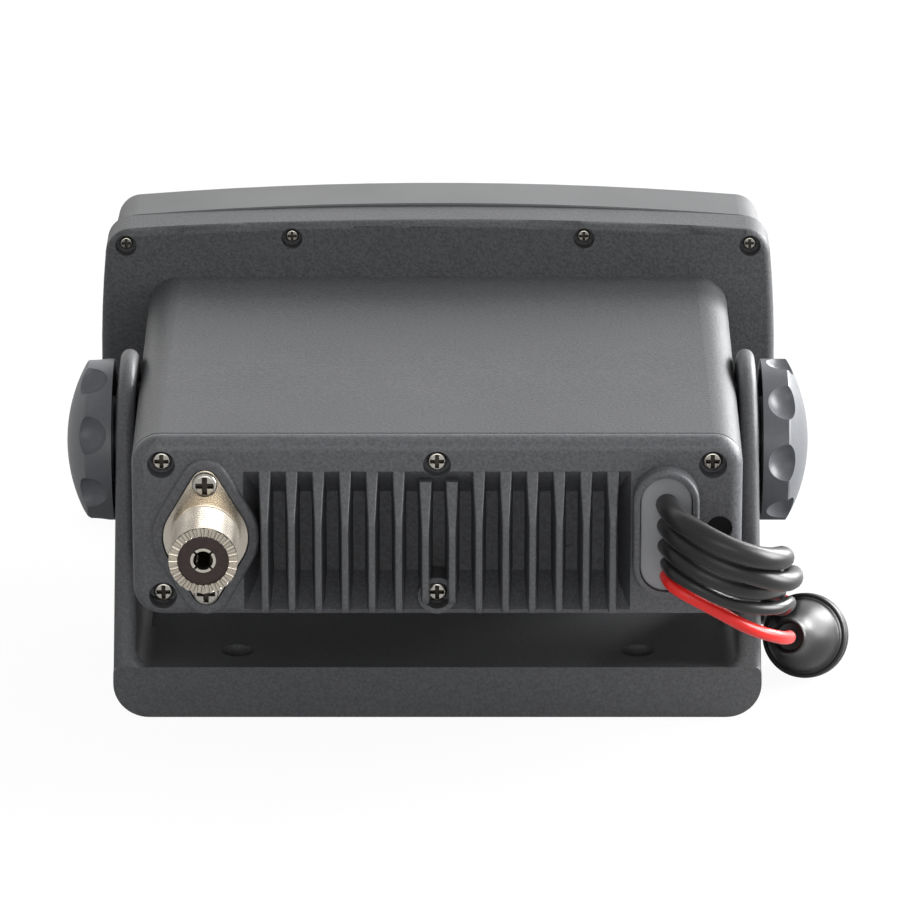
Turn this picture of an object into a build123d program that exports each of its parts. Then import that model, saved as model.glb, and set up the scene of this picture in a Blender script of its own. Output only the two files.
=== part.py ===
from build123d import *
import math
import os

os.makedirs("parts", exist_ok=True)

# VHF marine radio on its trunnion bracket. Millimetres, +Z up.
# The display faces -Y and the heat sink, with its cables, faces +Y.
# The origin is the middle of the bracket's underside, on the surface it is screwed to.

# ---- driving dimensions -------------------------------------------------------------------

# bracket
BASE_WIDTH = 155.4
BASE_DEPTH = 60.0
BASE_THICK = 12.8
ARM_INNER = 71.9  # from the middle plane to the inner face of an arm
ARM_OUTER_TOP = 76.5
ARM_END_RADIUS = 21.75
PIVOT_Z = 60.0
SCREW_SPACING_X = 96.2
SCREW_SPACING_Y = 38.0
SCREW_HOLE_RADIUS = 2.75
SCREW_SINK_RADIUS = 3.9

# radio body
BODY_Z = 59.2  # mid height of the casings
REAR_Y = 60.0  # flat face of the heat sink
SEAM_Y = 56.0  # heat sink meets rear housing
FLANGE_Y = -58.0  # back of the wide flange
SPLIT_Y = -70.6  # rear housing meets front cover
FRONT_Y = -92.0  # face of the front cover
BOX_WIDTH = 141.6
BOX_HEIGHT = 44.0
BOX_CORNER = 6.8
BOX_DRAFT = 0.57  # degrees
WALL = 2.6
FLANGE_WIDTH = 167.8
FLANGE_SIDE_HEIGHT = 69.8
FLANGE_RISE = 2.75  # crown of its top and bottom edges
FLANGE_BOW = 2.0  # its sides are this much closer at the corners
FLANGE_CORNER = 6.4
SIDE_BOSS_RADIUS = 14.2
SEAM_BEVEL = 0.3
COVER_INSET = 1.5  # front cover is this much narrower on each side

# heat sink
FIN_COUNT = 14
FIN_PITCH = 6.196
FIN_OUT = 6.0  # crest beyond the flat face
FIN_TOP_Z = 73.2
FIN_FOOT_Z = 39.5
FIN_SHIFT = -0.4  # the row of fins sits a little off the middle
POCKET_HALF = 44.6
POCKET_DEPTH = 8.0
CORE_MARKS = (34.9, -29.0)  # X of the round marks on the pocket's floor
CORE_MARK_Z = 54.3
SINK_SPIGOT = 7.0  # reaches this far into the housing from the seam
SCREW_X = 63.8
SCREW_TOP_Z = 74.8
SCREW_LOW_Z = 42.5
SINK_RECESS_RADIUS = 3.25
SINK_RECESS_DEPTH = 4.0

# aerial socket, UHF type with a two-hole flange
SOCKET_X = 53.7
SOCKET_Z = 57.2
SOCKET_THREAD_RADIUS = 7.9375  # 5/8 inch thread
SOCKET_LENGTH = 16.0
SOCKET_SCREW_SPACING = 26.6
SOCKET_FLANGE_THICK = 1.6
SOCKET_FLANGE_HALF = 9.8
SOCKET_FLANGE_END = 3.1

# cable gland
GLAND_X = -53.0
GLAND_Z = 59.15
GLAND_WIDTH = 11.9
GLAND_HEIGHT = 27.8
GLAND_RIM = 1.7
GLAND_FACE_Y = 64.0
GLAND_RIM_Y = 64.7

# clamp knobs
KNOB_RADIUS = 19.4
KNOB_INNER = 77.6
KNOB_SHOULDER = 83.7
KNOB_APEX = 89.1
KNOB_SCOOPS = 8
KNOB_PHASE = {1: 22.0, -1: 2.0}  # degrees from straight back to a scoop, as the knobs stand
STUD_RADIUS = 2.95

# bezel screws
BEZEL_SCREWS = [(77.4, 90.4), (36.2, 92.3)]
BEZEL_RECESS_RADIUS = 2.65
BEZEL_RECESS_DEPTH = 3.2

# front controls, all on the face of the front cover
LENS_WIDTH = 66.0
LENS_HEIGHT = 42.0
LENS_X = 4.0
LENS_Z = 68.0
SOFT_KEY_COUNT = 4
SOFT_KEY_PITCH = 16.5
SOFT_KEY_WIDTH = 13.0
SOFT_KEY_HEIGHT = 6.5
SOFT_KEY_Z = 38.0
CHANNEL_16_X = 58.0
CHANNEL_16_Z = 61.0
ROUND_KEY_RADIUS = 4.4
KEY_OUT = 1.2
KEY_CLEARANCE = 0.2
COVER_FACE = 3.0  # thickness of the front wall
CONTROL_BOARD_Y = FRONT_Y + 11.8  # front of the board behind the controls
SWITCH_PAD_Y = FRONT_Y + 5.6
DIAL_X = 58.0
DIALS = {"volume": (81.5, 8.5), "channel": (38.5, 10.5)}  # height and radius
DIAL_OUT = 12.0
DIAL_FLUTES = 18
SHAFT_RADIUS = 2.97
SPEAKER_SLOTS = 7
SPEAKER_X = -56.0
SPEAKER_Z = 70.0
SPEAKER_RADIUS = 19.0
FLAP_X = -62.0
FLAP_Z = 38.0
FLAP_WIDTH = 24.0
FLAP_HEIGHT = 13.0
MIC_X = -39.0
MIC_Z = 38.0
MIC_RADIUS = 7.0

FLAP_HINGE_Y = FRONT_Y - 1.7
FLAP_HINGE_Z = FLAP_Z + FLAP_HEIGHT / 2 + 1.7
FLAP_PIN_RADIUS = 0.7
SOCKET_NOTCHES = 26
VENT_X = -65.5
VENT_RADIUS = 3.0
BOARD_Z = 46.0
SEAL_THICK = 1.0

# cables
NETWORK_RADIUS = 2.6
SPEAKER_LEAD_RADIUS = 2.4
DATA_RADIUS = 2.25
THIN = 3.1
COIL_RADIUS = 17.0  # to the middle of a coil's turns
COIL_WIDE = 2
COIL_HIGH = 3
BLACK_COIL = (60.0, -119.0)
RED_COIL = (14.0, -141.0)

# in-line fuse holder, which rests on its seam and its tail
FUSE_DISC_RADIUS = 10.35
FUSE_RADIUS = 3.2
FUSE_REACH = 12.0
FUSE_PLANE = Plane(origin=(-89.4, 2.7, 10.4), z_dir=(0.249, 0.909, 0.334))


# ---- helpers ------------------------------------------------------------------------------


def prism_y(sketch, y_from, y_to, taper=0):
    """Extrude an X-Z sketch from y_from forward to the smaller y_to."""
    return extrude(Plane.XZ.offset(-y_from) * sketch, amount=y_from - y_to, taper=taper)


def rod_y(radius, y_from, y_to, x, z):
    """A round bar along Y."""
    length = abs(y_to - y_from)
    return Pos(x, (y_from + y_to) / 2, z) * Rot(90, 0, 0) * Cylinder(radius, length)


def rod_x(radius, x_from, x_to, y=0.0, z=PIVOT_Z):
    """A round bar along X."""
    return Pos((x_from + x_to) / 2, y, z) * Rot(0, 90, 0) * Cylinder(radius, abs(x_to - x_from))


def block(x_from, x_to, y_from, y_to, z_from, z_to):
    """A box between two corners."""
    size = (x_to - x_from, y_to - y_from, z_to - z_from)
    middle = ((x_from + x_to) / 2, (y_from + y_to) / 2, (z_from + z_to) / 2)
    return Pos(*middle) * Box(*size)


def rounded(width, height, corner, x=0.0, z=BODY_Z):
    """A rounded rectangle in the X-Z plane."""
    return Pos(x, z) * RectangleRounded(width, height, corner)


def crowned(width, side_height, rise, corner):
    """The flange outline: all four sides are gently bowed outwards."""
    w = width / 2 - FLANGE_BOW
    h = side_height / 2
    top = ThreePointArc((-w, h), (0, h + rise), (w, h))
    right = ThreePointArc((w, h), (w + FLANGE_BOW, 0), (w, -h))
    bottom = ThreePointArc((w, -h), (0, -h - rise), (-w, -h))
    left = ThreePointArc((-w, -h), (-w - FLANGE_BOW, 0), (-w, h))
    face = make_face([top, right, bottom, left])
    return Pos(0, BODY_Z) * fillet(face.vertices(), corner)


def socket_outline(grow=0.0):
    """Two-hole flange outline around the aerial socket's axis, in the X-Z plane."""
    rings = Circle(SOCKET_FLANGE_HALF + grow).edges()
    for side in (-1, 1):
        rings += (Pos(0, side * SOCKET_SCREW_SPACING / 2) * Circle(SOCKET_FLANGE_END + grow)).edges()
    return Pos(SOCKET_X, SOCKET_Z) * make_hull(rings)


def save(shape, name):
    """Write one node. A group of separate solids is written as one compound."""
    export_step(shape, os.path.join("parts", name + ".step"))


# ---- bracket ------------------------------------------------------------------------------


def bracket():
    """One moulding: a flat base with an upright arm at each end."""
    half_base = BASE_WIDTH / 2
    lean = (half_base - ARM_OUTER_TOP) / PIVOT_Z
    top_z = PIVOT_Z + ARM_END_RADIUS + 2
    outer_top = half_base - lean * top_z
    front_view = Polyline((-half_base, 0), (half_base, 0), (outer_top, top_z), (ARM_INNER, top_z),
                          (ARM_INNER, BASE_THICK), (-ARM_INNER, BASE_THICK),
                          (-ARM_INNER, top_z), (-outer_top, top_z), close=True)
    frame = prism_y(make_face(front_view), BASE_DEPTH / 2, -BASE_DEPTH / 2)
    outer_feet = frame.edges().filter_by(Axis.Y).group_by(Axis.Z)[0]
    frame = fillet(outer_feet, 8.5)
    inner_feet = [e for e in frame.edges().filter_by(Axis.Y)
                  if abs(abs(e.center().X) - ARM_INNER) < 0.01 and e.center().Z < BASE_THICK + 1]
    frame = fillet(inner_feet, 4.0)

    foot = Pos(0, BASE_THICK / 2) * Rectangle(BASE_DEPTH, BASE_THICK)
    end = Pos(0, PIVOT_Z) * Circle(ARM_END_RADIUS)
    side_view = make_hull(foot.edges() + end.edges())
    envelope = extrude(Plane.YZ.offset(-half_base - 1) * side_view, amount=BASE_WIDTH + 2)
    body = frame & envelope

    # Arm rims are half round; the base edges follow them.
    rims = [e for e in body.edges()
            if abs(e.center().X) > ARM_INNER - 0.1 and e.center().Z > BASE_THICK + 4.2
            and e.length > 10 and abs(e.center().Y) + abs(e.center().Z - PIVOT_Z) > 5]
    body = fillet(rims, 2.1)

    for side in (-1, 1):
        body += rod_x(13.0, side * 75.0, side * 76.9)
        body -= rod_x(STUD_RADIUS + 0.5, side * 60, side * 90)
        for y in (-SCREW_SPACING_Y / 2, SCREW_SPACING_Y / 2):
            x = side * SCREW_SPACING_X / 2
            body -= Pos(x, y, BASE_THICK / 2) * Cylinder(SCREW_HOLE_RADIUS, BASE_THICK + 2)
            body -= Pos(x, y, BASE_THICK) * Cylinder(SCREW_SINK_RADIUS, 10)
        # shallow pad and core mark on the upper face
        pad_x = side * 58.6
        body -= block(pad_x - 11, pad_x + 11, -27, 3.7, BASE_THICK - 0.4, BASE_THICK + 1)
    # ribs are left between shallow pockets underneath
    pocket_columns = 7
    column_pitch = 19.0
    for column in range(pocket_columns):
        x = (column - (pocket_columns - 1) / 2) * column_pitch
        for y in (-20.0, 0.0, 20.0):
            if abs(abs(x) - SCREW_SPACING_X / 2) < 14 and y != 0:
                continue
            body -= block(x - 8, x + 8, y - 8, y + 8, -1, 2.0)
    return body


# ---- casings ------------------------------------------------------------------------------


def housing_screw_places():
    """The six places where screws hold the heat sink to the housing."""
    return [(x, z) for z in (SCREW_TOP_Z, SCREW_LOW_Z) for x in (-SCREW_X, 0.0, SCREW_X)]


def bezel_screw_places():
    """The eight places where screws hold the front cover, mirrored about the body's middle."""
    places = []
    for x, z in BEZEL_SCREWS:
        for side in (-1, 1):
            places += [(side * x, z), (side * x, 2 * BODY_Z - z)]
    return places


def rear_housing():
    """Drafted box with the wide front flange, in one moulding."""
    outer = prism_y(rounded(BOX_WIDTH, BOX_HEIGHT, BOX_CORNER), SEAM_Y, FLANGE_Y, -BOX_DRAFT)
    outer = chamfer(outer.faces().sort_by(Axis.Y)[-1].edges(), SEAM_BEVEL)
    flange = prism_y(crowned(FLANGE_WIDTH, FLANGE_SIDE_HEIGHT, FLANGE_RISE, FLANGE_CORNER),
                     FLANGE_Y, SPLIT_Y)
    flange = fillet(flange.faces().sort_by(Axis.Y)[-1].edges(), 1.8)
    flange = chamfer(flange.faces().sort_by(Axis.Y)[0].edges(), SEAM_BEVEL)
    shell = outer + flange
    inside = prism_y(rounded(BOX_WIDTH - 2 * WALL, BOX_HEIGHT - 2 * WALL, BOX_CORNER - WALL),
                     SEAM_Y + 1, FLANGE_Y - 5, -BOX_DRAFT)
    shell -= inside
    shell -= prism_y(crowned(FLANGE_WIDTH - 5.6, FLANGE_SIDE_HEIGHT - 5.6, FLANGE_RISE,
                             FLANGE_CORNER - 2.8), FLANGE_Y - 2.8, SPLIT_Y - 1)
    for x, z in housing_screw_places():
        post = rod_y(3.7, SEAM_Y - SINK_SPIGOT - 0.1, 36, x, z)
        edge_z = BODY_Z + math.copysign(BOX_HEIGHT / 2 - 1, z - BODY_Z)
        web = block(x - 3.7, x + 3.7, 36, SEAM_Y - SINK_SPIGOT - 0.1, min(z, edge_z), max(z, edge_z))
        shell += post + web
        shell -= rod_y(1.25, SEAM_Y, 38, x, z)
    for x, z in bezel_screw_places():
        shell += rod_y(4.0, FLANGE_Y - 1, SPLIT_Y, x, z) & prism_y(
            crowned(FLANGE_WIDTH - 2, FLANGE_SIDE_HEIGHT - 2, FLANGE_RISE, FLANGE_CORNER - 1),
            FLANGE_Y, SPLIT_Y)
        shell -= rod_y(BEZEL_RECESS_RADIUS, FLANGE_Y + 1, FLANGE_Y - BEZEL_RECESS_DEPTH, x, z)
        shell -= rod_y(1.5, FLANGE_Y, SPLIT_Y - 1, x, z)
    for side in (-1, 1):
        shell += rod_x(SIDE_BOSS_RADIUS, side * 69.5, side * 71.4)
        shell -= rod_x(SIDE_BOSS_RADIUS, side * 71.4, side * 74.0)
        shell += rod_x(8.0, side * 59.0, side * 70.0)
        shell -= rod_x(4.6, side * 58.0, side * 72.0)
    # grooves for the two seals
    shell -= (prism_y(rounded(BOX_WIDTH - 1.6, BOX_HEIGHT - 1.6, BOX_CORNER - 0.8), SEAM_Y + 1,
                      SEAM_Y - 1.0)
              - prism_y(rounded(BOX_WIDTH - 3.6, BOX_HEIGHT - 3.6, BOX_CORNER - 1.8), SEAM_Y + 2,
                        SEAM_Y - 2.0))
    return shell


def rear_seal():
    """Cord seal in the housing's end groove."""
    ring = rounded(BOX_WIDTH - 1.7, BOX_HEIGHT - 1.7, BOX_CORNER - 0.85)
    ring -= rounded(BOX_WIDTH - 3.5, BOX_HEIGHT - 3.5, BOX_CORNER - 1.75)
    return prism_y(ring, SEAM_Y, SEAM_Y - 0.95)


def cover_outline(grow=0.0):
    """Front cover outline where it meets the flange."""
    return crowned(FLANGE_WIDTH - 2 * COVER_INSET + 2 * grow, FLANGE_SIDE_HEIGHT + 2 * grow,
                   FLANGE_RISE + 0.7, FLANGE_CORNER + grow)


def soft_key_places():
    """Name and X of each key in the row under the display."""
    middle = (SOFT_KEY_COUNT - 1) / 2
    return [(f"soft_key_{i + 1}", LENS_X + (i - middle) * SOFT_KEY_PITCH) for i in range(SOFT_KEY_COUNT)]


def key_plate(x, z, width, height, grow=0.0):
    """Outline of a rectangular key or of its hole."""
    return rounded(width + 2 * grow, height + 2 * grow, 1.8 + grow, x, z)


def front_cover():
    """Front casing with its windows, holes and screw posts."""
    back = cover_outline()
    body = prism_y(back, SPLIT_Y, FRONT_Y, 1.2)
    body = fillet(body.faces().sort_by(Axis.Y)[0].edges(), 3.2)
    body = chamfer(body.faces().sort_by(Axis.Y)[-1].edges(), SEAM_BEVEL)
    inner_face = FRONT_Y + COVER_FACE
    body -= prism_y(cover_outline(-2.8), SPLIT_Y + 1, inner_face, 1.2)
    for x, z in bezel_screw_places():
        post = rod_y(3.6, SPLIT_Y, inner_face - 1, x, z)
        body += post & prism_y(cover_outline(-1), SPLIT_Y, FRONT_Y)
        body -= rod_y(1.2, SPLIT_Y + 1, SPLIT_Y - 9, x, z)
    body -= prism_y(seal_ring(0.1), SPLIT_Y + 1, SPLIT_Y - SEAL_THICK)
    # display window with a step for the lens
    body -= prism_y(rounded(LENS_WIDTH - 5, LENS_HEIGHT - 5, 2.5, LENS_X, LENS_Z), FRONT_Y + 4, FRONT_Y - 1)
    body -= prism_y(rounded(LENS_WIDTH + 0.4, LENS_HEIGHT + 0.4, 4.2, LENS_X, LENS_Z), FRONT_Y + 1.9,
                    FRONT_Y - 1)
    for _, x in soft_key_places():
        hole = key_plate(x, SOFT_KEY_Z, SOFT_KEY_WIDTH, SOFT_KEY_HEIGHT, KEY_CLEARANCE)
        body -= prism_y(hole, FRONT_Y + 4, FRONT_Y - 1)
    body -= rod_y(ROUND_KEY_RADIUS + KEY_CLEARANCE, FRONT_Y + 4, FRONT_Y - 1, CHANNEL_16_X, CHANNEL_16_Z)
    for z, _ in DIALS.values():
        body -= rod_y(3.6, FRONT_Y + 4, FRONT_Y - 1, DIAL_X, z)
    # loudspeaker louvres
    pitch = 2 * SPEAKER_RADIUS / (SPEAKER_SLOTS + 0.6)
    for row in range(SPEAKER_SLOTS):
        rise = (row - (SPEAKER_SLOTS - 1) / 2) * pitch
        half = math.sqrt((SPEAKER_RADIUS - 1.5) ** 2 - rise ** 2)
        slot = Pos(SPEAKER_X, SPEAKER_Z + rise) * SlotOverall(2 * half, 2.4)
        body -= prism_y(slot, FRONT_Y + 4, FRONT_Y - 1)
    # distress key hole, in a shallow bay under its hinged cover
    bay = rounded(FLAP_WIDTH + 1, FLAP_HEIGHT + 1, 2.0, FLAP_X, FLAP_Z)
    body -= prism_y(bay, FRONT_Y + 0.8, FRONT_Y - 1)
    body -= prism_y(key_plate(FLAP_X, FLAP_Z, 12, 7, KEY_CLEARANCE), FRONT_Y + 4, FRONT_Y - 1)
    for side in (-1, 1):
        ear_x = FLAP_X + side * (FLAP_WIDTH / 2 + 1.6)
        ear = block(ear_x - 1, ear_x + 1, FRONT_Y - 1.4, FRONT_Y + 1, FLAP_HINGE_Z - 1.6, FLAP_HINGE_Z + 1.6)
        ear += rod_x(1.6, ear_x - 1, ear_x + 1, FLAP_HINGE_Y, FLAP_HINGE_Z)
        body += ear
        body -= rod_x(FLAP_PIN_RADIUS, ear_x - 3, ear_x + 3, FLAP_HINGE_Y, FLAP_HINGE_Z)
    # fist microphone socket
    body += rod_y(MIC_RADIUS + 2.2, FRONT_Y + 1, FRONT_Y - 1.2, MIC_X, MIC_Z)
    body -= rod_y(MIC_RADIUS, FRONT_Y + 4, FRONT_Y - 3, MIC_X, MIC_Z)
    return body


def seal_ring(grow=0.0):
    """Outline of the flat seal under the front cover's rim."""
    return cover_outline(-0.9 + grow) - cover_outline(-2.4 - grow)


def front_seal():
    """Flat seal in a rebate of the front cover, pierced where screws pass."""
    ring = prism_y(seal_ring(), SPLIT_Y, SPLIT_Y - SEAL_THICK)
    for x, z in bezel_screw_places():
        ring -= rod_y(1.5, SPLIT_Y + 1, SPLIT_Y - 2, x, z)
    return ring


def casing_seals():
    """Both seals of the casing."""
    return Compound([rear_seal(), front_seal()])


# ---- heat sink ----------------------------------------------------------------------------


def fin(x, top_z, foot_z):
    """A drafted cooling fin: its crest runs out from the flat face, then straight down."""
    knee_z = top_z - 10.5
    crest_y = REAR_Y + FIN_OUT
    floor_y = REAR_Y - POCKET_DEPTH - 1
    outline = Polyline((floor_y, top_z), (REAR_Y, top_z), (crest_y, knee_z), (crest_y, foot_z),
                       (floor_y, foot_z), close=True)
    side = make_face(outline)
    knee = side.vertices().sort_by_distance((crest_y, knee_z, 0))[0]
    foot = side.vertices().sort_by_distance((crest_y, foot_z, 0))[0]
    side = fillet(knee, 7.0)
    side = fillet(side.vertices().sort_by_distance(foot.center())[0], 3.0)
    blade = extrude(Plane.YZ.offset(x - 3) * side, amount=6)
    # the crest is 1.5 wide below the knee and widens towards the top
    flare = Polyline((x - 0.75, foot_z - 1), (x - 0.75, knee_z), (x - 1.0, top_z + 1),
                     (x + 1.0, top_z + 1), (x + 0.75, knee_z), (x + 0.75, foot_z - 1), close=True)
    wedge = extrude(Plane.XZ.offset(-crest_y) * make_face(flare), amount=crest_y - floor_y, taper=-4.0)
    body = blade & wedge
    crest_edges = [e for e in body.edges() if e.center().Y > REAR_Y + 0.5 and abs((e % 0.5).X) < 0.5]
    return fillet(crest_edges, 0.35)


def fin_places():
    """X of each fin and whether it is one of the short middle pair."""
    middle = (FIN_COUNT - 1) / 2
    return [((i - middle) * FIN_PITCH + FIN_SHIFT, abs(i - middle) < 1) for i in range(FIN_COUNT)]


def heat_sink():
    """Cast rear cover: finned plate, socket seat, gland boss and spigot."""
    plate = prism_y(rounded(BOX_WIDTH, BOX_HEIGHT, BOX_CORNER), REAR_Y, SEAM_Y)
    plate = fillet(plate.faces().sort_by(Axis.Y)[-1].edges(), 3.2)
    plate = chamfer(plate.faces().sort_by(Axis.Y)[0].edges(), SEAM_BEVEL)
    spigot = prism_y(rounded(BOX_WIDTH - 2 * WALL - 0.6, BOX_HEIGHT - 2 * WALL - 0.6, BOX_CORNER - WALL),
                     SEAM_Y, SEAM_Y - SINK_SPIGOT)
    limits = spigot + prism_y(rounded(BOX_WIDTH, BOX_HEIGHT, BOX_CORNER), REAR_Y + 10, SEAM_Y)
    plate += spigot
    floor_y = REAR_Y - POCKET_DEPTH
    pocket = Polyline((REAR_Y + 1, FIN_TOP_Z + 1), (floor_y, 65.5), (floor_y, 46.0),
                      (REAR_Y + 1, BODY_Z - BOX_HEIGHT / 2 + 0.6), close=True)
    plan = Polyline((-POCKET_HALF - 1.2, REAR_Y + 2), (-POCKET_HALF + 3.6, floor_y - 1),
                    (POCKET_HALF - 3.6, floor_y - 1), (POCKET_HALF + 1.2, REAR_Y + 2), close=True)
    hollow = extrude(Plane.YZ.offset(-POCKET_HALF - 2) * make_face(pocket), amount=2 * POCKET_HALF + 4)
    plate -= hollow & extrude(Pos(0, 0, 20) * make_face(plan), amount=80)
    for x in CORE_MARKS:
        plate -= rod_y(3.0, floor_y + 1, floor_y - 0.35, x, CORE_MARK_Z)
    for x, short in fin_places():
        plate += fin(x, FIN_TOP_Z - 2.6, FIN_FOOT_Z + 2.4) if short else fin(x, FIN_TOP_Z, FIN_FOOT_Z)
    plate += rod_y(SINK_RECESS_RADIUS + 1.2, REAR_Y, floor_y - 1, 0, SCREW_LOW_Z)

    # seat for the aerial socket, with a raised rim
    seat = prism_y(socket_outline(2.7), REAR_Y + 0.9, floor_y)
    seat = fillet(seat.faces().sort_by(Axis.Y)[-1].edges(), 0.85)
    plate += seat
    plate -= prism_y(socket_outline(0.35), REAR_Y + 2, REAR_Y - 1.0)
    plate -= rod_y(6.4, REAR_Y + 1, SEAM_Y - SINK_SPIGOT - 1, SOCKET_X, SOCKET_Z)
    for side in (-1, 1):
        plate -= rod_y(1.3, REAR_Y, REAR_Y - 8, SOCKET_X, SOCKET_Z + side * SOCKET_SCREW_SPACING / 2)

    # gland boss
    boss = prism_y(rounded(GLAND_WIDTH + 2 * GLAND_RIM, GLAND_HEIGHT + 2 * GLAND_RIM,
                           GLAND_WIDTH / 2 + GLAND_RIM - 0.01, GLAND_X, GLAND_Z), GLAND_RIM_Y, floor_y)
    plate += fillet(boss.faces().sort_by(Axis.Y)[-1].edges(), 0.8)
    plate -= prism_y(rounded(GLAND_WIDTH + 0.3, GLAND_HEIGHT + 0.3, GLAND_WIDTH / 2 + 0.14,
                             GLAND_X, GLAND_Z), GLAND_RIM_Y + 1, SEAM_Y - SINK_SPIGOT - 1)

    for x, z in housing_screw_places():
        plate -= rod_y(SINK_RECESS_RADIUS, REAR_Y + 1, REAR_Y - SINK_RECESS_DEPTH, x, z)
        plate -= rod_y(1.6, REAR_Y, SEAM_Y - SINK_SPIGOT - 1, x, z)
    plate -= rod_y(VENT_RADIUS, REAR_Y + 1, REAR_Y - 2.5, VENT_X, BODY_Z)
    plate -= rod_y(1.0, REAR_Y, SEAM_Y - SINK_SPIGOT - 1, VENT_X, BODY_Z)
    return plate & limits


def vent_plug():
    """Breathable plug sunk in the rear face."""
    return rod_y(VENT_RADIUS - 0.1, REAR_Y - 1.7, REAR_Y - 2.5, VENT_X, BODY_Z)


# ---- fasteners ----------------------------------------------------------------------------


def pan_screw(head_radius, head_thick, shank_radius, length):
    """A cross-recessed pan head screw: its head stands on z = 0 and its shank points down."""
    head = Pos(0, 0, head_thick / 2) * Cylinder(head_radius, head_thick)
    head = fillet(head.edges().sort_by(Axis.Z)[-1], head_thick * 0.4)
    shank = Pos(0, 0, -length / 2) * Cylinder(shank_radius, length)
    cross = Rot(0, 0, 45) * Box(0.56 * head_radius, 0.56 * head_radius, 1.6 * head_thick)
    for turn in (0, 90):
        cross += Rot(0, 0, turn) * Box(1.44 * head_radius, 0.42 * head_radius, 1.6 * head_thick)
    return head + shank - Pos(0, 0, head_thick) * cross


def along_y(x, y, z):
    """Places a screw so that its head points at +Y."""
    return Pos(x, y, z) * Rot(-90, 0, 0)


def heat_sink_screws():
    """Six M3 screws, sunk in the rear face."""
    seat = REAR_Y - SINK_RECESS_DEPTH
    return Compound([along_y(x, seat, z) * pan_screw(2.15, 1.6, 1.2, 14) for x, z in housing_screw_places()])


def bezel_screws():
    """Eight M2.5 screws that hold the front cover to the flange."""
    seat = FLANGE_Y - BEZEL_RECESS_DEPTH
    return Compound([along_y(x, seat, z) * pan_screw(1.5, 1.1, 1.15, 15) for x, z in bezel_screw_places()])


def socket_screws():
    """Two M3 screws in the aerial socket's flange."""
    seat = REAR_Y - 1.0 + SOCKET_FLANGE_THICK
    rises = (-SOCKET_SCREW_SPACING / 2, SOCKET_SCREW_SPACING / 2)
    return Compound([along_y(SOCKET_X, seat, SOCKET_Z + r) * pan_screw(2.6, 1.9, 1.25, 7) for r in rises])


def board_screws():
    """Four screws that hold the main board to its posts."""
    return Compound([Pos(x, y, BOARD_Z + 1.6) * pan_screw(2.2, 1.5, 1.1, 6) for x, y in board_posts()])


# ---- aerial socket ------------------------------------------------------------------------


def socket_shell():
    """Flange and threaded barrel in one turned piece, with a notched mouth."""
    seat = REAR_Y - 1.0
    flange = prism_y(socket_outline(), seat + SOCKET_FLANGE_THICK, seat)
    tip = seat + SOCKET_FLANGE_THICK + SOCKET_LENGTH
    shell = flange + rod_y(SOCKET_THREAD_RADIUS, seat, tip, SOCKET_X, SOCKET_Z)
    shell += rod_y(6.2, seat - 4, seat, SOCKET_X, SOCKET_Z)
    shell -= rod_y(5.95, seat - 5, tip + 1, SOCKET_X, SOCKET_Z)
    for side in (-1, 1):
        shell -= rod_y(1.6, seat - 1, tip, SOCKET_X, SOCKET_Z + side * SOCKET_SCREW_SPACING / 2)
    for index in range(SOCKET_NOTCHES):
        turn = Rot(0, index * 360 / SOCKET_NOTCHES, 0)
        notch = turn * Pos(7.3, 0, 0) * Rot(0, 90, 0) * Cylinder(0.6, 3)
        shell -= Pos(SOCKET_X, tip + 0.1, SOCKET_Z) * notch
    return shell


def socket_insulator():
    """Moulded insulator that fills the barrel to just short of its mouth."""
    tip = REAR_Y - 1.0 + SOCKET_FLANGE_THICK + SOCKET_LENGTH - 1.0
    return rod_y(5.9, SEAM_Y - SINK_SPIGOT, tip, SOCKET_X, SOCKET_Z) \
        - rod_y(3.0, SEAM_Y - SINK_SPIGOT - 1, tip + 1, SOCKET_X, SOCKET_Z)


def socket_contact():
    """Split centre contact, hollow at the front and a solder pin at the back."""
    tip = REAR_Y - 1.0 + SOCKET_FLANGE_THICK + SOCKET_LENGTH - 0.6
    contact = rod_y(2.95, SEAM_Y - SINK_SPIGOT, tip, SOCKET_X, SOCKET_Z)
    contact += rod_y(1.5, SEAM_Y - SINK_SPIGOT - 6, SEAM_Y - SINK_SPIGOT, SOCKET_X, SOCKET_Z)
    contact -= rod_y(2.05, tip - 12, tip + 1, SOCKET_X, SOCKET_Z)
    contact = chamfer(contact.edges().filter_by(GeomType.CIRCLE).sort_by(Axis.Y)[-1], 0.25)
    for turn in (45, 135):
        contact -= Pos(SOCKET_X, tip, SOCKET_Z) * Rot(0, turn, 0) * Box(8, 16, 0.5)
    return contact


# ---- cable gland --------------------------------------------------------------------------


def cable_gland():
    """Soft obround plug, flanged inside, that the cables leave through."""
    body = prism_y(rounded(GLAND_WIDTH, GLAND_HEIGHT, GLAND_WIDTH / 2 - 0.01, GLAND_X, GLAND_Z),
                   GLAND_FACE_Y, SEAM_Y - SINK_SPIGOT - 2)
    inner = prism_y(rounded(GLAND_WIDTH + 3, GLAND_HEIGHT + 3, GLAND_WIDTH / 2 + 1.4, GLAND_X, GLAND_Z),
                    SEAM_Y - SINK_SPIGOT - 0.05, SEAM_Y - SINK_SPIGOT - 2)
    return fillet(body.faces().sort_by(Axis.Y)[-1].edges(), 0.4) + inner


# ---- clamp knobs --------------------------------------------------------------------------


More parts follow.
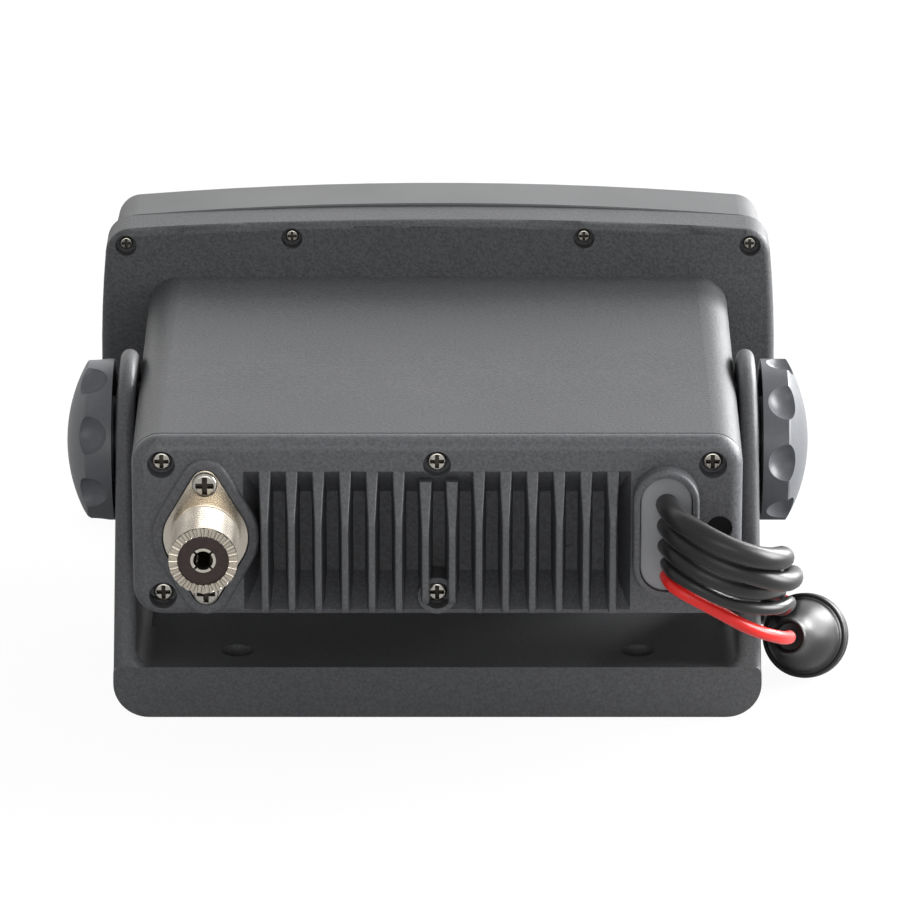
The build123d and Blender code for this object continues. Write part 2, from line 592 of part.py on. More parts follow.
def clamp_knob(side):
    """Domed plastic knob with scooped finger dents around its shoulder."""
    edge_x = KNOB_SHOULDER + 0.4
    edge_radius = KNOB_RADIUS - 0.5
    rise = KNOB_APEX - edge_x
    dome_radius = (edge_radius ** 2 + rise ** 2) / (2 * rise)
    half_way = edge_radius / 2
    middle = (KNOB_APEX - dome_radius + math.sqrt(dome_radius ** 2 - half_way ** 2), half_way)
    rim = Polyline((KNOB_INNER, 0), (KNOB_INNER, KNOB_RADIUS), (KNOB_SHOULDER, KNOB_RADIUS),
                   (edge_x, edge_radius))
    dome = ThreePointArc((edge_x, edge_radius), middle, (KNOB_APEX, 0))
    axis_line = Line((KNOB_APEX, 0), (KNOB_INNER, 0))
    body = revolve(make_face(rim.edges() + dome.edges() + axis_line.edges()), Axis.X)
    for index in range(KNOB_SCOOPS):
        turn = KNOB_PHASE[side] + index * 360 / KNOB_SCOOPS
        body -= Rot(turn, 0, 0) * Pos(KNOB_SHOULDER, 21.6, 0) * Sphere(5.35)
    body -= Pos(KNOB_INNER, 0, 0) * Rot(0, 90, 0) * (Cylinder(17.0, 6) - Cylinder(10.5, 7))
    hex_pocket = Plane.YZ.offset(KNOB_SHOULDER - 1.4) * RegularPolygon(5.0, 6)
    body -= extrude(hex_pocket, amount=3)
    body -= Pos(KNOB_INNER, 0, 0) * Rot(0, 90, 0) * Cylinder(STUD_RADIUS + 0.02, 14)
    body = Pos(0, 0, PIVOT_Z) * body
    return body if side > 0 else mirror(body, Plane.YZ)


def knob_stud(side):
    """Hex-headed M6 stud moulded into the knob."""
    stud = rod_x(STUD_RADIUS, 62.0, KNOB_SHOULDER - 1.4)
    head = Pos(0, 0, PIVOT_Z) * extrude(Plane.YZ.offset(KNOB_SHOULDER - 1.4) * RegularPolygon(4.95, 6),
                                        amount=2.95)
    return stud + head if side > 0 else mirror(stud + head, Plane.YZ)


def clamp_washer(side):
    """Plain steel washer between knob and arm."""
    return rod_x(10.0, side * 76.95, side * 77.55) - rod_x(3.2, side * 70, side * 80)


def friction_pads():
    """Rubber rings between the housing's side bosses and the arms."""
    outer = SIDE_BOSS_RADIUS - 0.3
    return Compound([rod_x(outer, s * 71.4, s * 71.8) - rod_x(7.0, s * 70, s * 73) for s in (-1, 1)])


def knob_inserts():
    """Threaded brass inserts in the housing's side bosses."""
    return Compound([rod_x(4.55, s * 59.2, s * 71.4) - rod_x(3.0, s * 58, s * 72) for s in (-1, 1)])


# ---- electronics --------------------------------------------------------------------------


def board_posts():
    """Where the main board is screwed down."""
    return [(x, y) for x in (-52.0, 52.0) for y in (-44.0, 26.0)]


def main_board():
    """Main circuit board with its larger components."""
    board = block(-62, 62, -54, 34, BOARD_Z, BOARD_Z + 1.6)
    for x, y in board_posts():
        board -= Pos(x, y, BOARD_Z) * Cylinder(1.3, 8)
    top = BOARD_Z + 1.6
    for x, y, width, depth, height in ((-48, 6, 12, 12, 2.0), (-26, 14, 16, 16, 2.2), (20, 16, 10, 14, 6.0),
                                       (46, -18, 8, 20, 7.0), (-50, -20, 8, 14, 9.0)):
        board += block(x - width / 2, x + width / 2, y - depth / 2, y + depth / 2, top, top + height)
    board += Pos(44, 8, top + 9) * Cylinder(6.3, 18)
    return board


def transmitter_shield():
    """Open-bottomed tin can over the radio-frequency stages."""
    can = block(-36, 36, -46, -4, BOARD_Z + 1.6, BOARD_Z + 10.6)
    return can - block(-35.4, 35.4, -45.4, -4.6, BOARD_Z + 1.6, BOARD_Z + 10.0)


def power_amplifier():
    """Output module bolted to the back of the heat sink."""
    return block(-28, 28, 39.5, SEAM_Y - SINK_SPIGOT, 52, 66)


def front_board():
    """Circuit board behind the controls."""
    back = CONTROL_BOARD_Y + 1.2
    board = block(-34, 72, CONTROL_BOARD_Y, back, 28, 91) + block(-72, -34, CONTROL_BOARD_Y, back, 28, 47)
    board -= rod_y(8.4, back + 1, CONTROL_BOARD_Y - 1, MIC_X, MIC_Z)
    for x, z in bezel_screw_places():
        board -= rod_y(5.0, back + 1, CONTROL_BOARD_Y - 1, x, z)
    return board


def keypad_mat():
    """Silicone switch mat behind the keys."""
    face = CONTROL_BOARD_Y - 1.2
    mat = block(-30, 38, face, CONTROL_BOARD_Y, 32, 44)
    for _, x in soft_key_places():
        mat += block(x - 4, x + 4, SWITCH_PAD_Y, face, SOFT_KEY_Z - 2.5, SOFT_KEY_Z + 2.5)
    round_pad = rod_y(6, face, CONTROL_BOARD_Y, CHANNEL_16_X, CHANNEL_16_Z)
    round_pad += rod_y(3, SWITCH_PAD_Y, face, CHANNEL_16_X, CHANNEL_16_Z)
    flap_pad = block(FLAP_X - 8, FLAP_X + 8, face, CONTROL_BOARD_Y, FLAP_Z - 5, FLAP_Z + 5)
    flap_pad += block(FLAP_X - 4, FLAP_X + 4, SWITCH_PAD_Y, face, FLAP_Z - 2.5, FLAP_Z + 2.5)
    return Compound([mat, round_pad, flap_pad])


def lcd_module():
    """Liquid-crystal panel with its backlight."""
    front = FRONT_Y + 3.1
    back = front + 4.4
    panel = block(LENS_X - 32, LENS_X + 32, front, back, LENS_Z - 19.5, LENS_Z + 19.5)
    return panel + block(LENS_X - 26, LENS_X + 26, back, CONTROL_BOARD_Y, LENS_Z - 12, LENS_Z + 12)


def display_lens():
    """Clear window set flush in the front cover."""
    return prism_y(rounded(LENS_WIDTH, LENS_HEIGHT, 4.0, LENS_X, LENS_Z), FRONT_Y + 1.9, FRONT_Y)


def speaker():
    """Loudspeaker: ring, basket and magnet."""
    face = FRONT_Y + 3.1
    ring = rod_y(SPEAKER_RADIUS, face, face + 1.7, SPEAKER_X, SPEAKER_Z)
    ring -= rod_y(SPEAKER_RADIUS - 3, face - 1, face + 0.9, SPEAKER_X, SPEAKER_Z)
    basket = Pos(SPEAKER_X, face + 5.8, SPEAKER_Z) * Rot(-90, 0, 0) * Cone(17.5, 10.5, 8.2)
    magnet = rod_y(11.0, face + 9.9, face + 17.9, SPEAKER_X, SPEAKER_Z)
    return ring + basket + magnet


def dial_encoders():
    """Rotary encoders with threaded bushes."""
    solids = []
    for z, _ in DIALS.values():
        front = FRONT_Y + 5.1
        case = block(DIAL_X - 6.5, DIAL_X + 6.5, front, CONTROL_BOARD_Y, z - 6.5, z + 6.5)
        bush = rod_y(3.5, front, FRONT_Y + 0.2, DIAL_X, z)
        solids.append(case + bush - rod_y(SHAFT_RADIUS + 0.05, FRONT_Y - 1, FRONT_Y + 10, DIAL_X, z))
    return Compound(solids)


# ---- front controls -----------------------------------------------------------------------


def rectangular_key(x, z, width, height, out):
    """A key cap with a lip behind the cover's wall."""
    cap = prism_y(key_plate(x, z, width, height), FRONT_Y + COVER_FACE + 0.1, FRONT_Y - out)
    cap = fillet(cap.faces().sort_by(Axis.Y)[0].edges(), 0.5)
    lip = prism_y(key_plate(x, z, width, height, 1.0), FRONT_Y + COVER_FACE + 1.3,
                  FRONT_Y + COVER_FACE + 0.1)
    return cap + lip


def round_key():
    """The channel 16 key."""
    cap = rod_y(ROUND_KEY_RADIUS, FRONT_Y + COVER_FACE + 0.1, FRONT_Y - KEY_OUT, CHANNEL_16_X, CHANNEL_16_Z)
    cap = fillet(cap.faces().sort_by(Axis.Y)[0].edges(), 0.6)
    lip = rod_y(ROUND_KEY_RADIUS + 1, FRONT_Y + COVER_FACE + 0.1, FRONT_Y + COVER_FACE + 1.3,
                CHANNEL_16_X, CHANNEL_16_Z)
    return cap + lip


def dial(z, radius):
    """Fluted knob for a rotary control."""
    back = FRONT_Y - 0.6
    body = rod_y(radius, back, back - DIAL_OUT, DIAL_X, z)
    body = fillet(body.faces().sort_by(Axis.Y)[0].edges(), 1.2)
    for index in range(DIAL_FLUTES):
        turn = Rot(0, index * 360 / DIAL_FLUTES, 0)
        flute = Pos(DIAL_X, back - DIAL_OUT / 2 - 1.5, z) * turn * Pos(radius + 0.55, 0, 0) \
            * Rot(90, 0, 0) * Cylinder(1.05, DIAL_OUT)
        body -= flute
    body -= block(DIAL_X - 0.5, DIAL_X + 0.5, back - DIAL_OUT - 1, back - DIAL_OUT + 0.5,
                  z + radius * 0.35, z + radius * 0.85)
    return body - rod_y(SHAFT_RADIUS + 0.01, back + 1, back - 8, DIAL_X, z)


def dial_shaft(z):
    """The dial's steel shaft."""
    return rod_y(SHAFT_RADIUS, FRONT_Y - 8.4, FRONT_Y + 9.7, DIAL_X, z)


def distress_cover():
    """Hinged guard over the distress key."""
    plate = prism_y(rounded(FLAP_WIDTH, FLAP_HEIGHT, 2.0, FLAP_X, FLAP_Z), FRONT_Y - 0.1, FRONT_Y - 2.6)
    plate = fillet(plate.faces().sort_by(Axis.Y)[0].edges(), 0.8)
    inside = rounded(FLAP_WIDTH - 3, FLAP_HEIGHT - 3, 1.0, FLAP_X, FLAP_Z)
    plate -= prism_y(inside, FRONT_Y + 1, FRONT_Y - 1.4)
    knuckle = rod_x(1.5, FLAP_X - FLAP_WIDTH / 2 + 0.2, FLAP_X + FLAP_WIDTH / 2 - 0.2,
                    FLAP_HINGE_Y, FLAP_HINGE_Z)
    web = block(FLAP_X - FLAP_WIDTH / 2 + 1, FLAP_X + FLAP_WIDTH / 2 - 1, FRONT_Y - 2.4, FRONT_Y - 1.0,
                FLAP_Z + FLAP_HEIGHT / 2 - 0.6, FLAP_HINGE_Z)
    lip = block(FLAP_X - 4, FLAP_X + 4, FRONT_Y - 2.2, FRONT_Y - 1.2, FLAP_Z - FLAP_HEIGHT / 2 - 1.2,
                FLAP_Z - FLAP_HEIGHT / 2 + 0.5)
    flap = plate + knuckle + web + lip
    return flap - rod_x(FLAP_PIN_RADIUS + 0.05, FLAP_X - 20, FLAP_X + 20, FLAP_HINGE_Y, FLAP_HINGE_Z)


def distress_hinge_pin():
    """Steel pin of the guard's hinge."""
    half = FLAP_WIDTH / 2 + 2.6
    return rod_x(FLAP_PIN_RADIUS, FLAP_X - half, FLAP_X + half, FLAP_HINGE_Y, FLAP_HINGE_Z)


def microphone_socket():
    """Threaded metal collar for the fist microphone's plug."""
    collar = rod_y(MIC_RADIUS - 0.05, FRONT_Y + 4, FRONT_Y - 8, MIC_X, MIC_Z)
    collar += rod_y(MIC_RADIUS + 1.2, FRONT_Y + 3.1, FRONT_Y + 5.0, MIC_X, MIC_Z)
    return collar - rod_y(5.6, FRONT_Y + 6, FRONT_Y - 9, MIC_X, MIC_Z)


def microphone_insert():
    """Insulating disc that carries the pins."""
    return rod_y(5.58, FRONT_Y + 5, FRONT_Y - 1.0, MIC_X, MIC_Z)


def microphone_pins():
    """Eight contact pins on a circle."""
    pins = []
    for index in range(8):
        angle = math.radians(22.5 + index * 45)
        x = MIC_X + 3.9 * math.cos(angle)
        z = MIC_Z + 3.9 * math.sin(angle)
        pins.append(rod_y(0.5, FRONT_Y - 1.0, FRONT_Y - 6.0, x, z))
    return Compound(pins)


# ---- cables -------------------------------------------------------------------------------

# Each route starts at the gland's face and runs along the outside of the left arm to the
# surface, then under the front flange. Points are picked by hand, and bends are arcs.
ROUTES = {
    "network_cable": [
        (-53, 64.4, 66.5), (-53.6, 72.6, 67.2), (-58.4, 80.4, 66.6), (-65.6, 84, 63.6),
        (-73.6, 82.6, 60.2), (-79.2, 76.4, 57.8), (-80.2, 67.6, 55), (-79, 56.8, 50.8),
        (-79.4, 43.6, 45.6), (-80.8, 29.2, 40.2), (-81.6, 14.2, 34.4), (-81.6, -0.6, 28.4),
        (-81.6, -14.6, 21.8), (-81.8, -28.4, 15.2), (-81.6, -42, 9.4), (-80, -56, 5),
        (-76, -70, 2.65), (-69, -83, 2.65), (-60.8, -96.4, 2.65), (-52.2, -109, 2.65),
        (-43, -121, 2.65), (-34.8, -133, 2.65), (-29.6, -145.4, 4.8), (-28, -158, 6.8),
    ],
    "speaker_cable": [
        (-53, 64.5, 61.25), (-53.9, 70, 61.4), (-59.2, 76.8, 60), (-66, 79.8, 57.2),
        (-73.8, 78.6, 54.2), (-79.4, 74.4, 51.2), (-82.4, 68, 49.6), (-82.8, 57.8, 47),
        (-83.6, 44.6, 41.4), (-84.4, 29.6, 35.4), (-85.4, 14.4, 29.8), (-86.2, -0.6, 24.6),
        (-87, -14.8, 18.8), (-87.6, -28.6, 13.2), (-87.4, -42.4, 7.8), (-86, -56, 3.8),
        (-82, -70, 2.45), (-75.6, -84, 2.45), (-68, -98, 2.45), (-60, -111, 2.45),
        (-52.4, -124, 2.45), (-46.8, -137, 2.45), (-44.2, -148.6, 4), (-43.6, -160, 5.4),
    ],
    "data_cable": [
        (-53, 64.8, 56.3), (-54, 68, 56.4), (-57.4, 72.2, 55.2), (-61.8, 74.6, 52.9),
        (-67.8, 74.6, 50.4), (-73.4, 72, 48.2), (-77.6, 65.3, 46), (-79.2, 55.4, 42),
        (-80, 44.2, 37.4), (-80.5, 32.2, 32.9), (-80.4, 18.6, 29), (-81.3, 3.6, 24.8),
        (-82.4, -11, 17.4), (-83.2, -24, 10), (-81.2, -35.2, 4.6), (-75.4, -45, 2.3),
        (-66.6, -54, 2.3), (-58.4, -64, 2.3), (-52, -75, 2.3), (-46.4, -86.4, 2.3),
        (-39, -97, 2.3), (-28.6, -105.4, 2.3), (-17.2, -108.9, 4.1), (-6, -109.4, 6),
    ],
    "power_lead_black": [
        (-53, 64.4, 52.2), (-53.6, 67.9, 52), (-56.2, 71.2, 51), (-60.5, 73.1, 49.2),
        (-66.4, 72.6, 45.8), (-73.6, 70.6, 43.2), (-79.6, 65.3, 41.4), (-82.4, 57.2, 40.2),
        (-82.6, 47.8, 35.2), (-81, 35.2, 29.2), (-80.2, 20.6, 25.3), (-79.6, 3.8, 21.1),
        (-80.8, -9.8, 13.2), (-82.2, -21.6, 5.6), (-80.4, -31.2, 1.6), (-73.8, -38.8, 1.6),
        (-64.6, -45.6, 1.6), (-56, -53.6, 1.6), (-49.6, -63.4, 1.6), (-44.4, -74.6, 1.6),
        (-38.4, -85, 1.6), (-29.6, -93, 1.6), (-18, -97.4, 1.6), (-5, -99, 1.6), (9, -99.4, 1.6),
        (22, -99.8, 1.6), (35, -100.4, 1.6), (46.9, -101.5, 1.6),
    ],
    "power_lead_red": [
        (-53, 64.4, 49), (-53.4, 67.4, 48.85), (-55.5, 70, 47.8), (-59.3, 71, 45.9),
        (-64.8, 69.9, 42.5), (-72.6, 67.4, 37), (-80, 60.6, 32.2), (-82.8, 49.8, 28),
        (-83.4, 36.8, 23.4), (-83.85, 23, 17.9),
    ],
    "power_lead_red_tail": [
        (-95.4, -19.2, 2.4), (-96, -21.6, 1.6), (-96.5, -27.5, 1.6), (-94, -36, 1.6),
        (-87.5, -43.5, 1.6), (-79.5, -50.5, 1.6), (-72, -57.5, 1.6), (-66, -66.5, 1.6),
        (-60.5, -77.5, 1.6), (-54.5, -88.5, 1.6), (-47.5, -99, 1.6), (-38, -108.5, 1.6),
        (-26, -115, 1.6), (-12.5, -120, 1.6), (0.9, -123.1, 1.6),
    ],
}
CABLE_RADII = {
    "network_cable": NETWORK_RADIUS,
    "speaker_cable": SPEAKER_LEAD_RADIUS,
    "data_cable": DATA_RADIUS,
    "power_lead_black": THIN / 2,
    "power_lead_red": THIN / 2,
    "power_lead_red_tail": THIN / 2,
}


def bend_radii(points):
    """An arc radius for each inner point, from its turn and its shorter neighbour run."""
    radii = []
    for before, here, after in zip(points, points[1:], points[2:]):
        first = Vector(here) - Vector(before)
        second = Vector(after) - Vector(here)
        turn = math.radians(first.get_angle(second))
        shorter = min(first.length, second.length)
        radii.append(0.45 * shorter / math.tan(turn / 2))
    return radii


def arc_route(points):
    """Straight runs joined by tangent arcs."""
    edges = []
    start = Vector(points[0])
    for here, after, radius in zip(points[1:], points[2:], bend_radii(points)):
        corner = Vector(here)
        incoming = (corner - start).normalized()
        outgoing = (Vector(after) - corner).normalized()
        turn = math.radians(incoming.get_angle(outgoing))
        setback = radius * math.tan(turn / 2)
        arc_start = corner - incoming * setback
        arc_end = corner + outgoing * setback
        centre_way = (outgoing - incoming).normalized()
        rise = radius / math.cos(turn / 2) - radius
        edges.append(Line(start, arc_start))
        edges.append(ThreePointArc(arc_start, corner + centre_way * rise, arc_end))
        start = arc_end
    edges.append(Line(start, Vector(points[-1])))
    return Wire(edges)


def cable(name):
    """A round tube along the cable's route."""
    points = ROUTES[name]
    radius = CABLE_RADII[name]
    path = arc_route(points)
    start_plane = Plane(origin=points[0], z_dir=Vector(points[1]) - Vector(points[0]))
    tube = sweep(start_plane * Circle(radius), path=path)
    expected = math.pi * radius ** 2 * path.length
    tightest = min(bend_radii(points))
    print(f"{name}: {path.length:.0f} mm, tightest arc {tightest:.1f} mm, "
          f"volume {tube.volume / expected:.3f} of section times length")
    return tube


def coil(x, y):
    """The put-away end of a lead: a round coil, shown as the ring that its turns fill."""
    width = COIL_WIDE * THIN
    height = COIL_HIGH * THIN
    section = Pos(COIL_RADIUS, height / 2 + 0.05) * RectangleRounded(width, height, THIN / 2 - 0.01)
    return Pos(x, y, 0) * revolve(Plane.XZ * section, Axis.Z)


def moulded_plug(cable_end, turn, length, radius, collar):
    """A moulded plug lying on the surface, from the end of its cable towards its mating end."""
    body = Pos(0, 0, length * 0.35) * Cylinder(radius, length * 0.5)
    body = fillet(body.edges().filter_by(GeomType.CIRCLE), 0.8)
    tail = Pos(0, 0, length * 0.06) * Cone(radius * 0.6, radius * 0.8, length * 0.12)
    ring = Pos(0, 0, length * 0.72) * Cylinder(collar, length * 0.3)
    ring -= Pos(0, 0, length * 0.84) * Cylinder(collar - 1.2, length * 0.3)
    core = Pos(0, 0, length * 0.72) * Cylinder(collar - 2.0, length * 0.3)
    plug = body + tail + ring + core
    x, y, _ = cable_end
    return Pos(x, y, collar) * Rot(0, 0, turn) * Rot(0, 90, 0) * Pos(0, 0, 0.2) * plug


def fuse_half(front):
    """One rubber-booted half of the in-line fuse holder."""
    if front:
        profile = Polyline((0, 0.05), (FUSE_DISC_RADIUS, 0.05), (FUSE_DISC_RADIUS, 2.4), (9.4, 2.9),
                           (9.0, 5.0), (8.3, 9.0), (6.4, 13.5), (4.7, 16.0), (4.4, 22.0), (0, 22.0),
                           close=True)
        lead_end = 22.0
    else:
        profile = Polyline((0, -0.05), (FUSE_DISC_RADIUS, -0.05), (FUSE_DISC_RADIUS, -2.4), (9.4, -2.9),
                           (8.2, -6.0), (5.8, -12.0), (3.4, -20.0), (2.2, -24.0), (0, -24.0), close=True)
        lead_end = -24.0
    body = revolve(Plane.XZ * make_face(profile), Axis.Z)
    body -= Cylinder(FUSE_RADIUS + 0.1, 2 * FUSE_REACH + 0.2)
    body -= Pos(0, 0, lead_end) * Cylinder(THIN / 2 + 0.1, 10)
    return FUSE_PLANE * body


def fuse():
    """Glass fuse with metal end caps, inside the holder."""
    body = Cylinder(FUSE_RADIUS - 0.3, 2 * FUSE_REACH)
    for side in (-1, 1):
        body += Pos(0, 0, side * (FUSE_REACH - 3)) * Cylinder(FUSE_RADIUS, 6)
    return FUSE_PLANE * body


# ---- writing ------------------------------------------------------------------------------

NODES = {
    "bracket": bracket,
    "rear_housing": rear_housing,
    "front_cover": front_cover,
    "heat_sink": heat_sink,
    "casing_seals": casing_seals,
    "heat_sink_screws": heat_sink_screws,
    "bezel_screws": bezel_screws,
    "board_screws": board_screws,
    "socket_shell": socket_shell,
    "socket_insulator": socket_insulator,
    "socket_contact": socket_contact,
    "socket_screws": socket_screws,
    "cable_gland": cable_gland,
    "vent_plug": vent_plug,
    "main_board": main_board,
    "transmitter_shield": transmitter_shield,
    "power_amplifier": power_amplifier,
    "front_board": front_board,
    "keypad_mat": keypad_mat,
    "lcd_module": lcd_module,
    "display_lens": display_lens,
    "speaker": speaker,
    "dial_encoders": dial_encoders,
    "channel_16_key": round_key,
    "distress_cover": distress_cover,
    "distress_hinge_pin": distress_hinge_pin,
    "microphone_socket": microphone_socket,
    "microphone_insert": microphone_insert,
    "microphone_pins": microphone_pins,
    "friction_pads": friction_pads,
    "knob_inserts": knob_inserts,
}

for node, make in NODES.items():
    save(make(), node)
for node, x in soft_key_places():
    save(rectangular_key(x, SOFT_KEY_Z, SOFT_KEY_WIDTH, SOFT_KEY_HEIGHT, KEY_OUT), node)
save(rectangular_key(FLAP_X, FLAP_Z, 12, 7, 0.2), "distress_key")
for name, (z, radius) in DIALS.items():
    save(dial(z, radius), name + "_knob")
    save(dial_shaft(z), name + "_shaft")
for name, side in (("right", 1), ("left", -1)):
    save(clamp_knob(side), name + "_clamp_knob")
    save(knob_stud(side), name + "_knob_stud")
    save(clamp_washer(side), name + "_washer")
for name in ROUTES:
    save(cable(name), name)
save(coil(*BLACK_COIL), "power_lead_black_coil")
save(coil(*RED_COIL), "power_lead_red_coil")
save(fuse_half(True), "fuse_holder_front")
save(fuse_half(False), "fuse_holder_rear")
save(fuse(), "fuse")
save(moulded_plug(ROUTES["network_cable"][-1], -90, 34.0, 6.2, 6.8), "network_plug")
save(moulded_plug(ROUTES["speaker_cable"][-1], -90, 30.0, 5.2, 5.4), "speaker_plug")
save(moulded_plug(ROUTES["data_cable"][-1], 0, 30.0, 5.6, 6.0), "data_plug")
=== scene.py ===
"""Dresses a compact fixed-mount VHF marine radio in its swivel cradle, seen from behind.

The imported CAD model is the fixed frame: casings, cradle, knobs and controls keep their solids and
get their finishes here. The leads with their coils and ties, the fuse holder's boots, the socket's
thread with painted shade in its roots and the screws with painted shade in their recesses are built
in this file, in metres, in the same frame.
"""

from __future__ import annotations

import logging
import math
from dataclasses import dataclass
from enum import Enum
from typing import Any, Callable, Iterable, Sequence

import bmesh
import bpy
from mathutils import Matrix, Vector


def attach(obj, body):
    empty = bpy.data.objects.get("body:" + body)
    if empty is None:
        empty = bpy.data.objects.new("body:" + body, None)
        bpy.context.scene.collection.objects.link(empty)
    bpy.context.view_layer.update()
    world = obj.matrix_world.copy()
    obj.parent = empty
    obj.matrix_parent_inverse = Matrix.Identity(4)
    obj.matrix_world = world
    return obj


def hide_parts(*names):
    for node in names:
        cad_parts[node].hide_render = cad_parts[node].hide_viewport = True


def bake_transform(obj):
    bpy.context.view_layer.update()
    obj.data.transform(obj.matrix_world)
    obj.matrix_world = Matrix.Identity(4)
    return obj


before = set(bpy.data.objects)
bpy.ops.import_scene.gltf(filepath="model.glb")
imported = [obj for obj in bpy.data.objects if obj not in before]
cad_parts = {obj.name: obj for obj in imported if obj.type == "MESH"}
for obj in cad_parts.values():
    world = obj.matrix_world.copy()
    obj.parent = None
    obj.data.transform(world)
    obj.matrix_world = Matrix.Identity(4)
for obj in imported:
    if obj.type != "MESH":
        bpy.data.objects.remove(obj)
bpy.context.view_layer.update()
LOG = logging.getLogger("radio")
MM = 0.001
METAL_CREASE = 32.0  # degrees between faces from which a turned or pressed metal edge stays sharp

Point = tuple[float, float, float]
Tree = bpy.types.NodeTree
Node = bpy.types.Node
Socket = bpy.types.NodeSocket
Mesh = bpy.types.Mesh
Piece = bpy.types.Object


class Body(str, Enum):
    """The CAD bodies that the pieces made here ride on."""

    BRACKET = "bracket_and_leads"
    RADIO = "radio"


class FarEnd(str, Enum):
    """What a lead ends in."""

    CONNECTOR = "connector"
    FITTING = "fitting"
    BARE = "bare"


# ---- nodes and colours --------------------------------------------------------------------


def linear(hex_colour: str) -> tuple[float, float, float, float]:
    """Turns an sRGB hex colour into the linear colour that a socket takes.

    Args:
        hex_colour: Six hex digits, with or without a leading #.

    Returns:
        Red, green, blue and an alpha of 1.
    """
    digits = hex_colour.lstrip("#")
    values = [int(digits[i:i + 2], 16) / 255 for i in (0, 2, 4)]
    curved = [v / 12.92 if v <= 0.04045 else ((v + 0.055) / 1.055) ** 2.4 for v in values]
    return (curved[0], curved[1], curved[2], 1.0)


def add(tree: Tree, kind: str, settings: dict[str, Any] | None = None,
        links: dict[str | int, Any] | None = None) -> Node:
    """Adds a node to a tree, with its settings and its inputs.

    Args:
        tree: The shader or geometry tree.
        kind: Blender's type name of the node.
        settings: Properties of the node and their values.
        links: Inputs by name or number, each a value or the output socket that feeds it.

    Returns:
        The new node.
    """
    made = tree.nodes.new(kind)
    for key, value in (settings or {}).items():
        setattr(made, key, value)
    for key, value in (links or {}).items():
        if isinstance(value, Socket):
            tree.links.new(value, made.inputs[key])
        else:
            made.inputs[key].default_value = value
    return made


def lumps(size_mm: float, detail: float) -> dict[str, float]:
    """Gives the values of a noise with lumps about size_mm across, and its finer layers."""
    return {"Scale": 0.5 / (size_mm * MM), "Detail": detail, "Roughness": 0.55}


def onto(low: float, high: float) -> dict[str, float]:
    """Gives the values that map a pattern's middle range, 0.3 to 0.7, onto low to high."""
    return {"From Min": 0.3, "From Max": 0.7, "To Min": low, "To Max": high}


def bare_tree(holder: bpy.types.Material | bpy.types.World) -> Tree:
    """Turns on the nodes of a material or a world, and empties its tree.

    Args:
        holder: The material or the world.

    Returns:
        Its tree, with nothing in it.
    """
    holder.use_nodes = True
    holder.node_tree.nodes.clear()
    return holder.node_tree


# ---- finishes -----------------------------------------------------------------------------


@dataclass(frozen=True)
class Finish:
    """What every finish shares: a material of its own name with one Principled shader."""

    title: str
    colour: str
    roughness: float

    def material(self) -> bpy.types.Material:
        """Builds the material the first time, and gives the same one after that.

        Returns:
            The Blender material.
        """
        found = bpy.data.materials.get(self.title)
        if found is not None:
            return found
        made = bpy.data.materials.new(self.title)
        tree = bare_tree(made)
        shader = add(tree, "ShaderNodeBsdfPrincipled",
                     links={"Base Color": linear(self.colour), "Roughness": self.roughness})
        add(tree, "ShaderNodeOutputMaterial", links={"Surface": shader.outputs["BSDF"]})
        place = add(tree, "ShaderNodeTexCoord").outputs["Object"]
        self.wire(tree, shader, place)
        return made

    def wire(self, tree: Tree, shader: Node, place: Socket) -> None:
        """Adds this finish's own pattern. The plain one has none.

        Args:
            tree: The material's tree.
            shader: Its Principled shader.
            place: Where the pattern is read, in metres.
        """

    def tone(self, tree: Tree, shader: Node, pattern: Socket,
             ends: tuple[Sequence[float], Sequence[float]]) -> None:
        """Colours the shader by a pattern's middle range.

        Args:
            tree: The material's tree.
            shader: Its Principled shader.
            pattern: The pattern's value.
            ends: The linear colours where it is low and where it is high.
        """
        share = add(tree, "ShaderNodeMapRange", links={"Value": pattern, **onto(0.0, 1.0)})
        mixed = add(tree, "ShaderNodeMix", {"data_type": "RGBA"}, {
            "Factor": share.outputs["Result"], 6: (*ends[0][:3], 1.0), 7: (*ends[1][:3], 1.0)})
        tree.links.new(mixed.outputs[2], shader.inputs["Base Color"])

    def shades(self, down: float, up: float) -> tuple[list[float], list[float]]:
        """Gives this finish's linear colour times down, and times up."""
        base = linear(self.colour)
        return [c * down for c in base], [c * up for c in base]

    def sheen(self, tree: Tree, shader: Node, pattern: Socket, low: float, high: float) -> None:
        """Sets the shader's roughness by a pattern's middle range.

        Args:
            tree: The material's tree.
            shader: Its Principled shader.
            pattern: The pattern's value.
            low: The roughness where it is low.
            high: The roughness where it is high.
        """
        spread = add(tree, "ShaderNodeMapRange", links={"Value": pattern, **onto(low, high)})
        tree.links.new(spread.outputs["Result"], shader.inputs["Roughness"])


